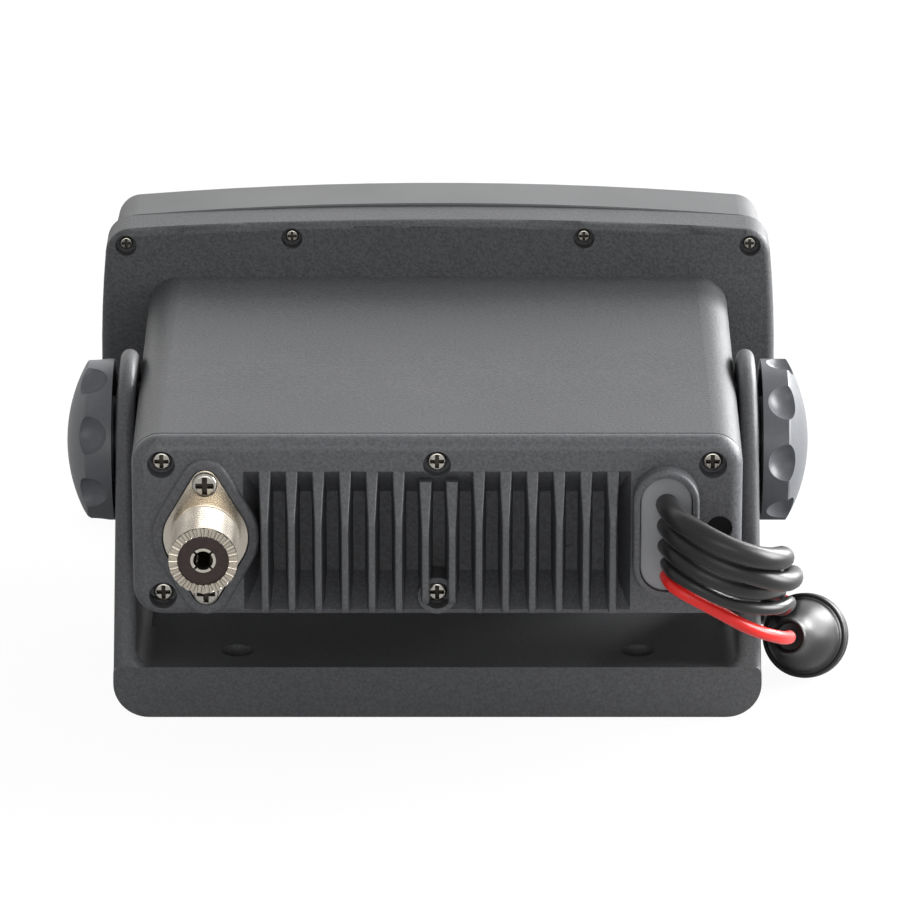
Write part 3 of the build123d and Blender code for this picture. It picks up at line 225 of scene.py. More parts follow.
@dataclass(frozen=True)
class MouldedPlastic(Finish):
    """Glass-filled plastic from a spark-eroded mould: an even fine grain, a soft satin sheen."""

    grain_mm: float = 0.42
    relief_mm: float = 0.02
    mottle: float = 0.12
    wear_mm: float = 22.0
    uneven: float = 0.04

    def wire(self, tree: Tree, shader: Node, place: Socket) -> None:
        """Adds the grain, its faint speckle and a slow change of sheen.

        Args:
            tree: The material's tree.
            shader: Its Principled shader.
            place: Where the pattern is read, in metres.
        """
        grain = add(tree, "ShaderNodeTexNoise",
                    links={"Vector": place, **lumps(self.grain_mm, 1.0)})
        self.tone(tree, shader, grain.outputs["Fac"],
                  self.shades(1 - self.mottle, 1 + self.mottle))
        wear = add(tree, "ShaderNodeTexNoise", links={"Vector": place, **lumps(self.wear_mm, 3.0)})
        self.sheen(tree, shader, wear.outputs["Fac"], self.roughness - self.uneven,
                   self.roughness + self.uneven)
        bump = add(tree, "ShaderNodeBump", links={
            "Height": grain.outputs["Fac"], "Distance": self.relief_mm * MM, "Strength": 1.0})
        tree.links.new(bump.outputs["Normal"], shader.inputs["Normal"])


@dataclass(frozen=True)
class Rubber(Finish):
    """Moulded rubber or soft PVC: dull, faintly cloudy, with slow unevenness."""

    relief_mm: float = 0.015
    bloom_mm: float = 5.0
    skin_mm: float = 0.9
    cloud: tuple[float, float] = (0.9, 1.12)
    uneven: float = 0.06

    def wire(self, tree: Tree, shader: Node, place: Socket) -> None:
        """Adds the bloom on the skin and a shallow moulded unevenness.

        Args:
            tree: The material's tree.
            shader: Its Principled shader.
            place: Where the pattern is read, in metres.
        """
        bloom = add(tree, "ShaderNodeTexNoise",
                    links={"Vector": place, **lumps(self.bloom_mm, 4.0)})
        self.tone(tree, shader, bloom.outputs["Fac"], self.shades(*self.cloud))
        self.sheen(tree, shader, bloom.outputs["Fac"], self.roughness - self.uneven,
                   self.roughness + self.uneven)
        skin = add(tree, "ShaderNodeTexNoise", links={"Vector": place, **lumps(self.skin_mm, 2.0)})
        bump = add(tree, "ShaderNodeBump", links={
            "Height": skin.outputs["Fac"], "Distance": self.relief_mm * MM, "Strength": 1.0})
        tree.links.new(bump.outputs["Normal"], shader.inputs["Normal"])


@dataclass(frozen=True)
class Metal(Finish):
    """Plated or turned metal: a clear reflection broken by fine turning marks and handling."""

    scratch_mm: float = 0.15
    polish_mm: float = 2.5
    polish: tuple[float, float] = (0.75, 1.3)
    relief_mm: float = 0.004

    def wire(self, tree: Tree, shader: Node, place: Socket) -> None:
        """Adds the uneven polish and the marks.

        Args:
            tree: The material's tree.
            shader: Its Principled shader.
            place: Where the pattern is read, in metres.
        """
        shader.inputs["Metallic"].default_value = 1.0
        rubbed = add(tree, "ShaderNodeTexNoise",
                     links={"Vector": place, **lumps(self.polish_mm, 4.0)})
        self.sheen(tree, shader, rubbed.outputs["Fac"], self.roughness * self.polish[0],
                   self.roughness * self.polish[1])
        marks = add(tree, "ShaderNodeTexNoise",
                    links={"Vector": place, **lumps(self.scratch_mm, 2.0)})
        bump = add(tree, "ShaderNodeBump", links={
            "Height": marks.outputs["Fac"], "Distance": self.relief_mm * MM, "Strength": 1.0})
        tree.links.new(bump.outputs["Normal"], shader.inputs["Normal"])


@dataclass(frozen=True)
class CircuitBoard(Finish):
    """Glass-epoxy board under green solder mask, with copper tracks that show a shade lighter."""

    track: str = "2f7a4c"
    cell_mm: float = 2.6

    def wire(self, tree: Tree, shader: Node, place: Socket) -> None:
        """Adds the tracks, on half a cell's pitch.

        Args:
            tree: The material's tree.
            shader: Its Principled shader.
            place: Where the pattern is read, in metres.
        """
        cells = add(tree, "ShaderNodeTexVoronoi", {"distance": "MANHATTAN", "feature": "F1"},
                    {"Vector": place, "Scale": 1 / (self.cell_mm * MM)})
        self.tone(tree, shader, cells.outputs["Distance"],
                  (linear(self.track), linear(self.colour)))


@dataclass(frozen=True)
class Clear(Finish):
    """Cast acrylic or glass: clear, hard and glossy."""

    ior: float = 1.49
    haze_mm: float = 12.0
    haze: float = 0.02

    def wire(self, tree: Tree, shader: Node, place: Socket) -> None:
        """Lets light through and adds a trace of polishing haze to the gloss.

        Args:
            tree: The material's tree.
            shader: Its Principled shader.
            place: Where the pattern is read, in metres.
        """
        shader.inputs["Transmission Weight"].default_value = 1.0
        shader.inputs["IOR"].default_value = self.ior
        film = add(tree, "ShaderNodeTexNoise", links={"Vector": place, **lumps(self.haze_mm, 2.0)})
        self.sheen(tree, shader, film.outputs["Fac"], self.roughness, self.roughness + self.haze)


@dataclass(frozen=True)
class Display(Finish):
    """A switched-off liquid crystal cell: grey-green glass over a faint square pixel mesh."""

    pixel_mm: float = 0.5
    gap: str = "3c4542"

    def wire(self, tree: Tree, shader: Node, place: Socket) -> None:
        """Adds the pixel mesh as two crossed sets of lines.

        Args:
            tree: The material's tree.
            shader: Its Principled shader.
            place: Where the pattern is read, in metres.
        """
        turned = add(tree, "ShaderNodeMapping",
                     links={"Vector": place, "Rotation": (math.pi / 2, 0.0, 0.0)})
        mesh = add(tree, "ShaderNodeTexBrick", {"offset": 0.0, "squash": 1.0}, {
            "Vector": turned.outputs["Vector"], "Color1": linear(self.colour),
            "Color2": linear(self.colour), "Mortar": linear(self.gap),
            "Scale": 1 / MM, "Mortar Size": 0.04, "Brick Width": self.pixel_mm,
            "Row Height": self.pixel_mm})
        tree.links.new(mesh.outputs["Color"], shader.inputs["Base Color"])


# Spark-eroded glass-filled ABS of the rear housing: dark neutral grey, fine even speckle.
CASING = MouldedPlastic("moulded_abs_housing", "4d4e50", 0.46, 0.32, 0.07, 0.26)
# The same plastic off a polished mould, as on the front cover: hardly any grain.
COVER = MouldedPlastic("moulded_abs_cover", "5b5c5d", 0.42, 0.30, 0.008, 0.05)
# Glass-filled nylon: a shade lighter, its grain lower.
CRADLE = MouldedPlastic("moulded_nylon_cradle", "5a5b5d", 0.46, 0.28, 0.035, 0.20)
KNOB = MouldedPlastic("moulded_nylon_knob", "606266", 0.38, 0.40, 0.008, 0.05)
DIAL = MouldedPlastic("moulded_abs_dial", "2c2d2f", 0.42, 0.30, 0.006, 0.05)
# Die-cast aluminium under a baked textured paint: the coat rounds the grain and keeps it coarse.
SINK = MouldedPlastic("painted_die_cast_aluminium", "5b5c5f", 0.44, 0.34, 0.06, 0.22)
AMPLIFIER = MouldedPlastic("epoxy_power_module", "23262c", 0.40, 0.4, 0.01, 0.05)
# Phenolic moulding: brown-black, faintly mottled by its filler.
INSULATOR = MouldedPlastic("phenolic_insulator", "3a2a27", 0.50, 0.5, 0.012, 0.18)
FLAP = MouldedPlastic("moulded_abs_red_flap", "b3231d", 0.38, 0.30, 0.004, 0.04)
PLUG = MouldedPlastic("moulded_pvc_plug", "1d1d1f", 0.48, 0.35, 0.01, 0.06)
# EPDM rubber: mid grey, matt, with the bloom that such rubber grows.
GLAND = Rubber("moulded_epdm_gland", "8c8d90", 0.60)
SEAL = Rubber("silicone_seal", "3a3b3d", 0.65)
PAD = Rubber("nitrile_friction_pad", "202122", 0.75)
# Soft PVC off a vapour-blasted mould: black, satin, a little uneven.
BOOT = Rubber("satin_pvc_boot", "202020", 0.40, 0.006)
KEYS = Rubber("silicone_keys", "2a2b2d", 0.58)
# Extruded PVC jacket: black satin, faintly wavy from the wires inside.
JACKET = Rubber("pvc_cable_jacket", "212121", 0.36, 0.020)
RED_JACKET = Rubber("red_pvc_wire_jacket", "e3211c", 0.34, 0.006)
CONE = Rubber("doped_paper_cone", "18181a", 0.80, 0.05)
# Expanded PTFE membrane, near black: dull, hardly lighter than its hole.
VENT = Rubber("near_black_ptfe_vent", "0f0f10", 0.80, 0.02)
STEEL = Metal("stainless_steel_screws", "cdc9c0", 0.24)
STUD = Metal("stainless_steel_stud", "bdbcb9", 0.30)
# Black-passivated zinc on the clamp washers, kept near black also as painted shade in the gap
# between knob and arm.
BLACK_ZINC_AND_GAP_SHADE = Metal("black_zinc_washers_and_gap_shade", "26272a", 0.42)
# Nickel plate over turned brass: warm grey mirror, dulled in streaks by handling.
NICKEL = Metal("nickel_plated_brass", "d8d0c3", 0.20, 0.25)
# Painted shade in the thread's roots, over the same plate.
ROOT_SHADE = Metal("painted_thread_root_shade", "2e2a25", 0.55)
# Painted shade in punched recesses and bores: dull, brown-grey.
RECESS_SHADE = Metal("painted_recess_shade", "565149", 0.55)
SILVER = Metal("silver_plated_contact", "e4dfd2", 0.20)
BRASS = Metal("gold_flashed_brass", "c8ab6d", 0.25)
TIN = Metal("tin_plated_steel", "c6c8ca", 0.32)
STRANDS = Metal("tinned_copper_strands", "cdc6ba", 0.35)
BOARD = CircuitBoard("solder_masked_board", "1d5a37", 0.35)
LENS = Clear("cast_acrylic_lens", "f4f6f6", 0.02)
GLASS = Clear("fuse_glass", "f6f8f8", 0.02, 1.52)
PANEL = Display("liquid_crystal_panel", "5d6a60", 0.30)
TIE = Rubber("woven_hook_tie", "2a2a2c", 0.85, 0.06)


# ---- shared making ------------------------------------------------------------------------


def report(piece: Piece) -> None:
    """Logs one finished piece."""
    LOG.info("%s: %d faces", piece.name, len(piece.data.polygons))


def settle(piece: Piece, body: Body, slot: str, *nodes: str) -> Piece:
    """Makes a piece ride on its body and hides the CAD nodes that it replaces.

    Args:
        piece: The piece.
        body: The body that carries it.
        slot: The record's material slot; not used.
        nodes: The CAD nodes that it replaces, if any.

    Returns:
        The same piece.
    """
    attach(piece, body.value)
    if nodes:
        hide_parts(*nodes)
    report(piece)
    return piece


def mesh_object(name: str, mesh: Mesh, finish: Finish | None = None) -> Piece:
    """Puts a mesh into the scene as an object at the origin.

    Args:
        name: The piece's name.
        mesh: Its mesh, already in place, in metres.
        finish: The finish that it takes, or None to keep the mesh's own.

    Returns:
        The new object.
    """
    made = bpy.data.objects.new(name, mesh)
    bpy.context.scene.collection.objects.link(made)
    if finish is not None:
        made.data.materials.clear()
        made.data.materials.append(finish.material())
    return made


def evaluated_mesh(source: Piece) -> Mesh:
    """Bakes an object's modifiers or curve into a plain mesh.

    Args:
        source: The object to read.

    Returns:
        A mesh of its own.
    """
    graph = bpy.context.evaluated_depsgraph_get()
    return bpy.data.meshes.new_from_object(source.evaluated_get(graph), depsgraph=graph)


def shade_by_angle(mesh: Mesh, degrees: float) -> None:
    """Smooths a mesh and marks its creases sharp.

    Args:
        mesh: The mesh to change.
        degrees: Faces that meet at more than this keep a sharp edge.
    """
    work = bmesh.new()
    work.from_mesh(mesh)
    for face in work.faces:
        face.smooth = True
    limit = math.radians(degrees)
    for edge in work.edges:
        edge.smooth = edge.is_manifold and edge.calc_face_angle(0.0) < limit
    work.to_mesh(mesh)
    work.free()


def lofted(name: str, rings: Sequence[Sequence[Vector]], degrees: float) -> Mesh:
    """Joins closed rings of points, each to the next and the last to the first.

    Args:
        name: The mesh's name.
        rings: Points in metres, as many in each ring.
        degrees: Faces that meet at more than this keep a sharp edge.

    Returns:
        The closed mesh.
    """
    work = bmesh.new()
    loops = [[work.verts.new(place) for place in ring] for ring in rings]
    for near, far in zip(loops, loops[1:] + loops[:1]):
        for i in range(len(near)):
            j = (i + 1) % len(near)
            work.faces.new((near[i], near[j], far[j], far[i]))
    bmesh.ops.recalc_face_normals(work, faces=work.faces)
    mesh = bpy.data.meshes.new(name)
    work.to_mesh(mesh)
    work.free()
    shade_by_angle(mesh, degrees)
    return mesh


def merged_copy(node: str) -> Mesh:
    """Copies a CAD node's mesh with its loose triangles merged into one skin.

    Args:
        node: The CAD node's name.

    Returns:
        The merged mesh.
    """
    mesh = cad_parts[node].data.copy()
    mesh.name = node + "_skin"
    work = bmesh.new()
    work.from_mesh(mesh)
    bmesh.ops.remove_doubles(work, verts=work.verts, dist=2e-6)
    bmesh.ops.dissolve_degenerate(work, edges=work.edges, dist=1e-6)
    work.to_mesh(mesh)
    work.free()
    return mesh


def dress(node: str, finish: Finish) -> Piece:
    """Gives a CAD node its finish in every slot and leaves its mesh alone.

    Args:
        node: The CAD node's name.
        finish: The finish.

    Returns:
        The node's object.
    """
    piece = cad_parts[node]
    for place in piece.material_slots:
        place.material = finish.material()
    report(piece)
    return piece


def copy_with_painted_shade(node: str, name: str, slot: str, finishes: tuple[Finish, Finish],
             second: Callable[[Vector, Vector], bool],
             moved: Callable[[Vector], Vector] | None = None) -> Piece:
    """Copies a CAD node as a piece of two finishes, the second one painted shade.

    Args:
        node: The CAD node that it replaces.
        name: The piece's name.
        slot: The record's material slot.
        finishes: The main finish and the painted shade.
        second: Says of a face's middle (mm) and normal whether it takes the painted shade.
        moved: Gives a vertex's new place (mm), if the skin changes a little.

    Returns:
        The piece.
    """
    mesh = merged_copy(node)
    mesh.materials.clear()
    for finish in finishes:
        mesh.materials.append(finish.material())
    for face in mesh.polygons:
        face.material_index = int(second(face.center / MM, face.normal))
    if moved is not None:
        for vertex in mesh.vertices:
            vertex.co = moved(vertex.co / MM) * MM
    shade_by_angle(mesh, METAL_CREASE)
    return settle(mesh_object(name, mesh), Body.RADIO, slot, node)


def geometry_tree(name: str, sizes: dict[str, tuple[str, float]],
                  finish: Finish) -> tuple[Tree, Node, Node]:
    """Starts a Geometry Nodes tree with named sizes, that ends in the two closing nodes.

    Args:
        name: The tree's name.
        sizes: The kind and usual value of each size, by name.
        finish: The finish of what it makes.

    Returns:
        The tree, its input node, and the Realize Instances node that takes the result.
    """
    tree = bpy.data.node_groups.new(name, "GeometryNodeTree")
    for title, (kind, usual) in sizes.items():
        tree.interface.new_socket(title, in_out="INPUT", socket_type=kind).default_value = usual
    tree.interface.new_socket("Geometry", in_out="OUTPUT", socket_type="NodeSocketGeometry")
    given = tree.nodes.new("NodeGroupInput")
    realised = add(tree, "GeometryNodeRealizeInstances")
    coated = add(tree, "GeometryNodeSetMaterial", links={
        "Geometry": realised.outputs[0], "Material": finish.material()})
    add(tree, "NodeGroupOutput", links={0: coated.outputs[0]})
    return tree, given, realised


def grown(name: str, tree: Tree, sizes: dict[str, float]) -> Mesh:
    """Runs a Geometry Nodes tree once and keeps what it makes as a plain mesh.

    Args:
        name: The mesh's name.
        tree: The tree.
        sizes: Its sizes by name, in metres, turns or counts.

    Returns:
        The mesh.
    """
    holder = mesh_object(name + "_maker", bpy.data.meshes.new(name + "_seed"))
    modifier = holder.modifiers.new("maker", "NODES")
    modifier.node_group = tree
    inputs = {item.name: item.identifier for item in tree.interface.items_tree
              if item.in_out == "INPUT"}
    for title, size in sizes.items():
        modifier[inputs[title]] = size
    mesh = evaluated_mesh(holder)
    mesh.name = name
    bpy.data.objects.remove(holder)
    return mesh


# ---- leads --------------------------------------------------------------------------------


def nurbs_mesh(name: str, points_mm: Sequence[Point], radius_mm: float = 0.0) -> Mesh:
    """Makes the mesh of one open NURBS curve, bare or with a round section.

    Args:
        name: The curve's name.
        points_mm: Control points in millimetres.
        radius_mm: The section's radius, or 0 for the bare line.

    Returns:
        The mesh.
    """
    data = bpy.data.curves.new(name, "CURVE")
    data.dimensions = "3D"
    data.resolution_u = 8
    data.bevel_depth = radius_mm * MM
    data.bevel_resolution = 6
    data.use_fill_caps = radius_mm > 0
    spline = data.splines.new("NURBS")
    spline.points.add(len(points_mm) - 1)
    for knot, place in zip(spline.points, points_mm):
        knot.co = (place[0] * MM, place[1] * MM, place[2] * MM, 1.0)
    spline.order_u = 3
    spline.use_endpoint_u = True
    curve = bpy.data.objects.new(name, data)
    bpy.context.scene.collection.objects.link(curve)
    mesh = evaluated_mesh(curve)
    bpy.data.objects.remove(curve)
    bpy.data.curves.remove(data)
    return mesh


@dataclass(frozen=True)
class Coil:
    """The put-away length of a lead: lanes of turns, two wide and three high, wound clockwise."""

    centre: tuple[float, float]
    wire: float = 3.1
    mean_radius: float = 17.0
    foot: float = 0.8
    points_per_turn: int = 16
    lane_degrees: float = 318.0
    change_degrees: float = 40.0

    def lanes(self) -> list[tuple[float, float]]:
        """Gives the lanes, from the first turn to the last.

        Returns:
            Each lane's radius and height, in millimetres.
        """
        half = self.wire / 2
        low, middle, top = (self.foot + half + k * self.wire for k in range(3))
        outer, inner = self.mean_radius + half, self.mean_radius - half
        return [(outer, low), (inner, low), (inner, middle), (outer, middle), (outer, top),
                (inner, top)]

    def points(self) -> list[Point]:
        """Gives the control points of the turns, that start at the top heading +X.

        Returns:
            Points in millimetres.
        """
        lanes = self.lanes()
        step = 360 / self.points_per_turn
        swell = 1 / math.cos(math.pi / self.points_per_turn)
        total = self.lane_degrees * len(lanes)
        made: list[Point] = []
        turned = 0.0
        while turned <= total:
            past = [(turned - k * self.lane_degrees) / self.change_degrees + 0.5
                    for k in range(1, len(lanes))]
            radius, height = lanes[0]
            for change, before, after in zip(past, lanes, lanes[1:]):
                part = min(max(change, 0), 1)
                eased = part * part * (3 - 2 * part)
                radius += eased * (after[0] - before[0])
                height += eased * (after[1] - before[1])
            angle = math.radians(90 - turned)
            made.append((self.centre[0] + radius * swell * math.cos(angle),
                         self.centre[1] + radius * swell * math.sin(angle), height))
            turned += step
        return made

    def tie(self, name: str, degrees: float) -> Piece:
        """Makes a flat woven tie round the turns.

        Args:
            name: The piece's name.
            degrees: Where it sits on the ring, from +X.

        Returns:
            The piece.
        """
        play, corner, thick, width, corner_points = 0.35, 1.6, 0.45, 4.5, 5
        half_wide, half_high = self.wire + play, 1.5 * self.wire + play
        middle_high = self.foot + 1.5 * self.wire
        loop: list[tuple[float, float]] = []
        for turn, (side, rise) in enumerate(((1, 1), (-1, 1), (-1, -1), (1, -1))):
            for k in range(corner_points):
                angle = math.radians(90 * (turn + k / (corner_points - 1)))
                loop.append((side * (half_wide - corner) + corner * math.cos(angle),
                             rise * (half_high - corner) + corner * math.sin(angle)))
        out = Vector((math.cos(math.radians(degrees)), math.sin(math.radians(degrees)), 0))
        along = Vector((-out.y, out.x, 0))
        centre = Vector((self.centre[0], self.centre[1], middle_high))
        rings = []
        for shift, grow in ((-width / 2, 0.0), (-width / 2, thick), (width / 2, thick),
                            (width / 2, 0.0)):
            ring = []
            for x, z in loop:
                reach = Vector((x, z)).normalized() * grow
                place = centre + out * (self.mean_radius + x + reach.x) + along * shift
                place.z += z + reach.y
                ring.append(place * MM)
            rings.append(ring)
        piece = mesh_object(name, lofted(name, rings, degrees=34.0), TIE)
        return settle(piece, Body.BRACKET, "cable_black")


@dataclass(frozen=True)
class Lead:
    """One round lead, from where it leaves the set or a fitting to its far end."""

    name: str
    node: str
    route: tuple[Point, ...]
    radius: float
    finish: Finish
    slot: str
    far_end: FarEnd
    length: float
    lay: str = "loose"
    coil: Coil | None = None
    bend_from: Point | None = None
    bend_to: Point | None = None

    def control(self) -> list[Point]:
        """Gives every control point, the coil's turns among them."""
        return list(self.route) + (self.coil.points() if self.coil else [])

    def line(self) -> list[Vector]:
        """Reads the smooth line that the lead follows.

        Returns:
            Points in metres along the bare NURBS curve.
        """
        bare = nurbs_mesh(self.name + "_line", self.control())
        return [vertex.co.copy() for vertex in bare.vertices]

    def build(self, with_pieces: Iterable[Piece] = (),
              also: Iterable[str] = ()) -> Piece:
        """Args:
            with_pieces: The pieces on it, such as its plug; not used.
            also: Other CAD nodes that it stands for, such as its coil.

        Returns:
            The piece.
        """
        path = self.line()
        mesh = nurbs_mesh(self.name + "_round", self.control(), self.radius)
        for face in mesh.polygons:
            face.use_smooth = True
        piece = mesh_object(self.name, mesh, self.finish)
        if self.bend_from is not None and self.bend_to is not None:
            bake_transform(piece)
        else:
            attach(piece, Body.BRACKET.value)
        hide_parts(self.node, *also)
        report(piece)
        return piece


@dataclass(frozen=True)
class FuseHolder:
    """The in-line fuse holder: two soft boots that meet in a wide disc, and the fuse inside."""

    centre: Point = (-89.4, 2.7, 10.4)
    axis: Point = (0.249, 0.909, 0.334)
    segments: int = 72
    # radius and height of each ring of a boot, from the bore round the outside and back in
    front: tuple[tuple[float, float], ...] = (
        (3.35, 0.05), (10.05, 0.05), (10.3, 0.25), (10.35, 1.0), (10.3, 1.9), (10.0, 2.3),
        (9.75, 2.35), (9.55, 2.25), (9.4, 2.5), (9.3, 2.95), (9.05, 3.15), (8.8, 3.3), (8.65, 4.2),
        (8.4, 5.8), (8.0, 7.6), (7.45, 9.4), (6.75, 11.2), (6.0, 12.8), (5.35, 14.2), (4.9, 15.6),
        (4.65, 17.2), (4.5, 19.2), (4.42, 21.0), (4.25, 21.7), (3.95, 21.95), (3.65, 21.75),
        (3.5, 21.2), (3.4, 19.6), (3.2, 18.9), (1.62, 18.7), (1.62, 13.0), (3.35, 12.2))
    rear: tuple[tuple[float, float], ...] = (
        (3.35, 0.05), (10.05, 0.05), (10.3, 0.25), (10.35, 1.0), (10.3, 1.9), (10.0, 2.3),
        (9.75, 2.35), (9.5, 2.5), (9.35, 2.9), (8.9, 4.2), (8.2, 6.0), (7.1, 8.8), (5.9, 11.9),
        (4.7, 15.6), (3.6, 19.2), (2.9, 22.0), (2.5, 23.4), (2.2, 23.95), (1.75, 23.9),
        (1.62, 23.5), (1.62, 13.0), (3.35, 12.2))

    def boot(self, node: str, rings: tuple[tuple[float, float], ...], way: int) -> Piece:
        """Turns one boot round the holder's axis.

        Args:
            node: The CAD node that it stands for.
            rings: Radius and height of each ring.
            way: 1 where the boot points along the axis, -1 where it points back.

        Returns:
            The piece.
        """
        place = Matrix.Translation(Vector(self.centre) * MM) \
            @ Vector(self.axis).normalized().to_track_quat("Z", "Y").to_matrix().to_4x4()
        turned = []
        for radius, height in rings:
            ring = []
            for k in range(self.segments):
                angle = 2 * math.pi * k / self.segments
                local = Vector((radius * math.cos(angle), radius * math.sin(angle), way * height))
                ring.append(place @ (local * MM))
            turned.append(ring)
        mesh = lofted(node + "_boot", turned, degrees=50.0)
        piece = mesh_object(node + "_boot", mesh, BOOT)
        return settle(piece, Body.BRACKET, "boot_rubber", node)

    def build(self) -> list[Piece]:
        """Makes both boots and dresses the fuse.

        Returns:
            The three pieces.
        """
        return [self.boot("fuse_holder_front", self.front, 1),
                self.boot("fuse_holder_rear", self.rear, -1), dress("fuse", GLASS)]


@dataclass(frozen=True)
class StrandedEnd:
    """The stripped, tinned end of a power lead: six strands laid round a middle one."""

    name: str
    strand: float = 0.42
    lay_radius: float = 0.82
    pitch: float = 9.0
    length: float = 9.0
    sunk: float = 1.5

    def mesh(self) -> Mesh:
        """Lays the strands along Z.

        Returns:
            The mesh, from its root upwards.
        """
        tree, given, realised = geometry_tree(self.name + "_strands", {
            "Strand Radius": ("NodeSocketFloat", self.strand * MM),
            "Lay Radius": ("NodeSocketFloat", self.lay_radius * MM),
            "Turns": ("NodeSocketFloat", 1.0), "Length": ("NodeSocketFloat", self.length * MM),
            "Strands": ("NodeSocketInt", 6)}, STRANDS)
        line = add(tree, "GeometryNodeCurveSpiral", links={
            "Resolution": 24, "Rotations": given.outputs["Turns"],
            "Start Radius": given.outputs["Lay Radius"], "End Radius": given.outputs["Lay Radius"],
            "Height": given.outputs["Length"]})
        section = add(tree, "GeometryNodeCurvePrimitiveCircle", links={
            "Resolution": 10, "Radius": given.outputs["Strand Radius"]})
        strand = add(tree, "GeometryNodeCurveToMesh", links={
            0: line.outputs[0], 1: section.outputs[0], "Fill Caps": True})
        seats = add(tree, "GeometryNodePoints", links={"Count": given.outputs["Strands"]})
        share = add(tree, "ShaderNodeMath", {"operation": "DIVIDE"},
                    {0: math.tau, 1: given.outputs["Strands"]})
        angle = add(tree, "ShaderNodeMath", {"operation": "MULTIPLY"}, {
            0: add(tree, "GeometryNodeInputIndex").outputs[0], 1: share.outputs[0]})
        turn = add(tree, "ShaderNodeCombineXYZ", links={"Z": angle.outputs[0]})
        outer = add(tree, "GeometryNodeInstanceOnPoints", links={
            "Points": seats.outputs[0], "Instance": strand.outputs[0],
            "Rotation": turn.outputs[0]})
        tip = add(tree, "ShaderNodeCombineXYZ", links={"Z": given.outputs["Length"]})
        middle = add(tree, "GeometryNodeCurveToMesh", links={
            0: add(tree, "GeometryNodeCurvePrimitiveLine", links={
                "Start": (0.0, 0.0, 0.0), "End": tip.outputs[0]}).outputs[0],
            1: section.outputs[0], "Fill Caps": True})
        both = add(tree, "GeometryNodeJoinGeometry")
        tree.links.new(outer.outputs[0], both.inputs[0])
        tree.links.new(middle.outputs[0], both.inputs[0])
        tree.links.new(both.outputs[0], realised.inputs[0])
        return grown(self.name, tree, {"Turns": self.length / self.pitch})

    def build(self, after: Sequence[Vector]) -> Piece:
        """Sets the strands into the end of a lead.

        Args:
            after: The lead's line, whose end the strands carry on.

        Returns:
            The piece.
        """
        ahead = (after[-1] - after[-3]).normalized()
        mesh = self.mesh()
        mesh.transform(Matrix.Translation(after[-1] - ahead * self.sunk * MM)
                       @ ahead.to_track_quat("Z", "Y").to_matrix().to_4x4())
        for face in mesh.polygons:
            face.use_smooth = len(face.vertices) < 5
        return settle(mesh_object(self.name, mesh), Body.BRACKET, "contact_brass")


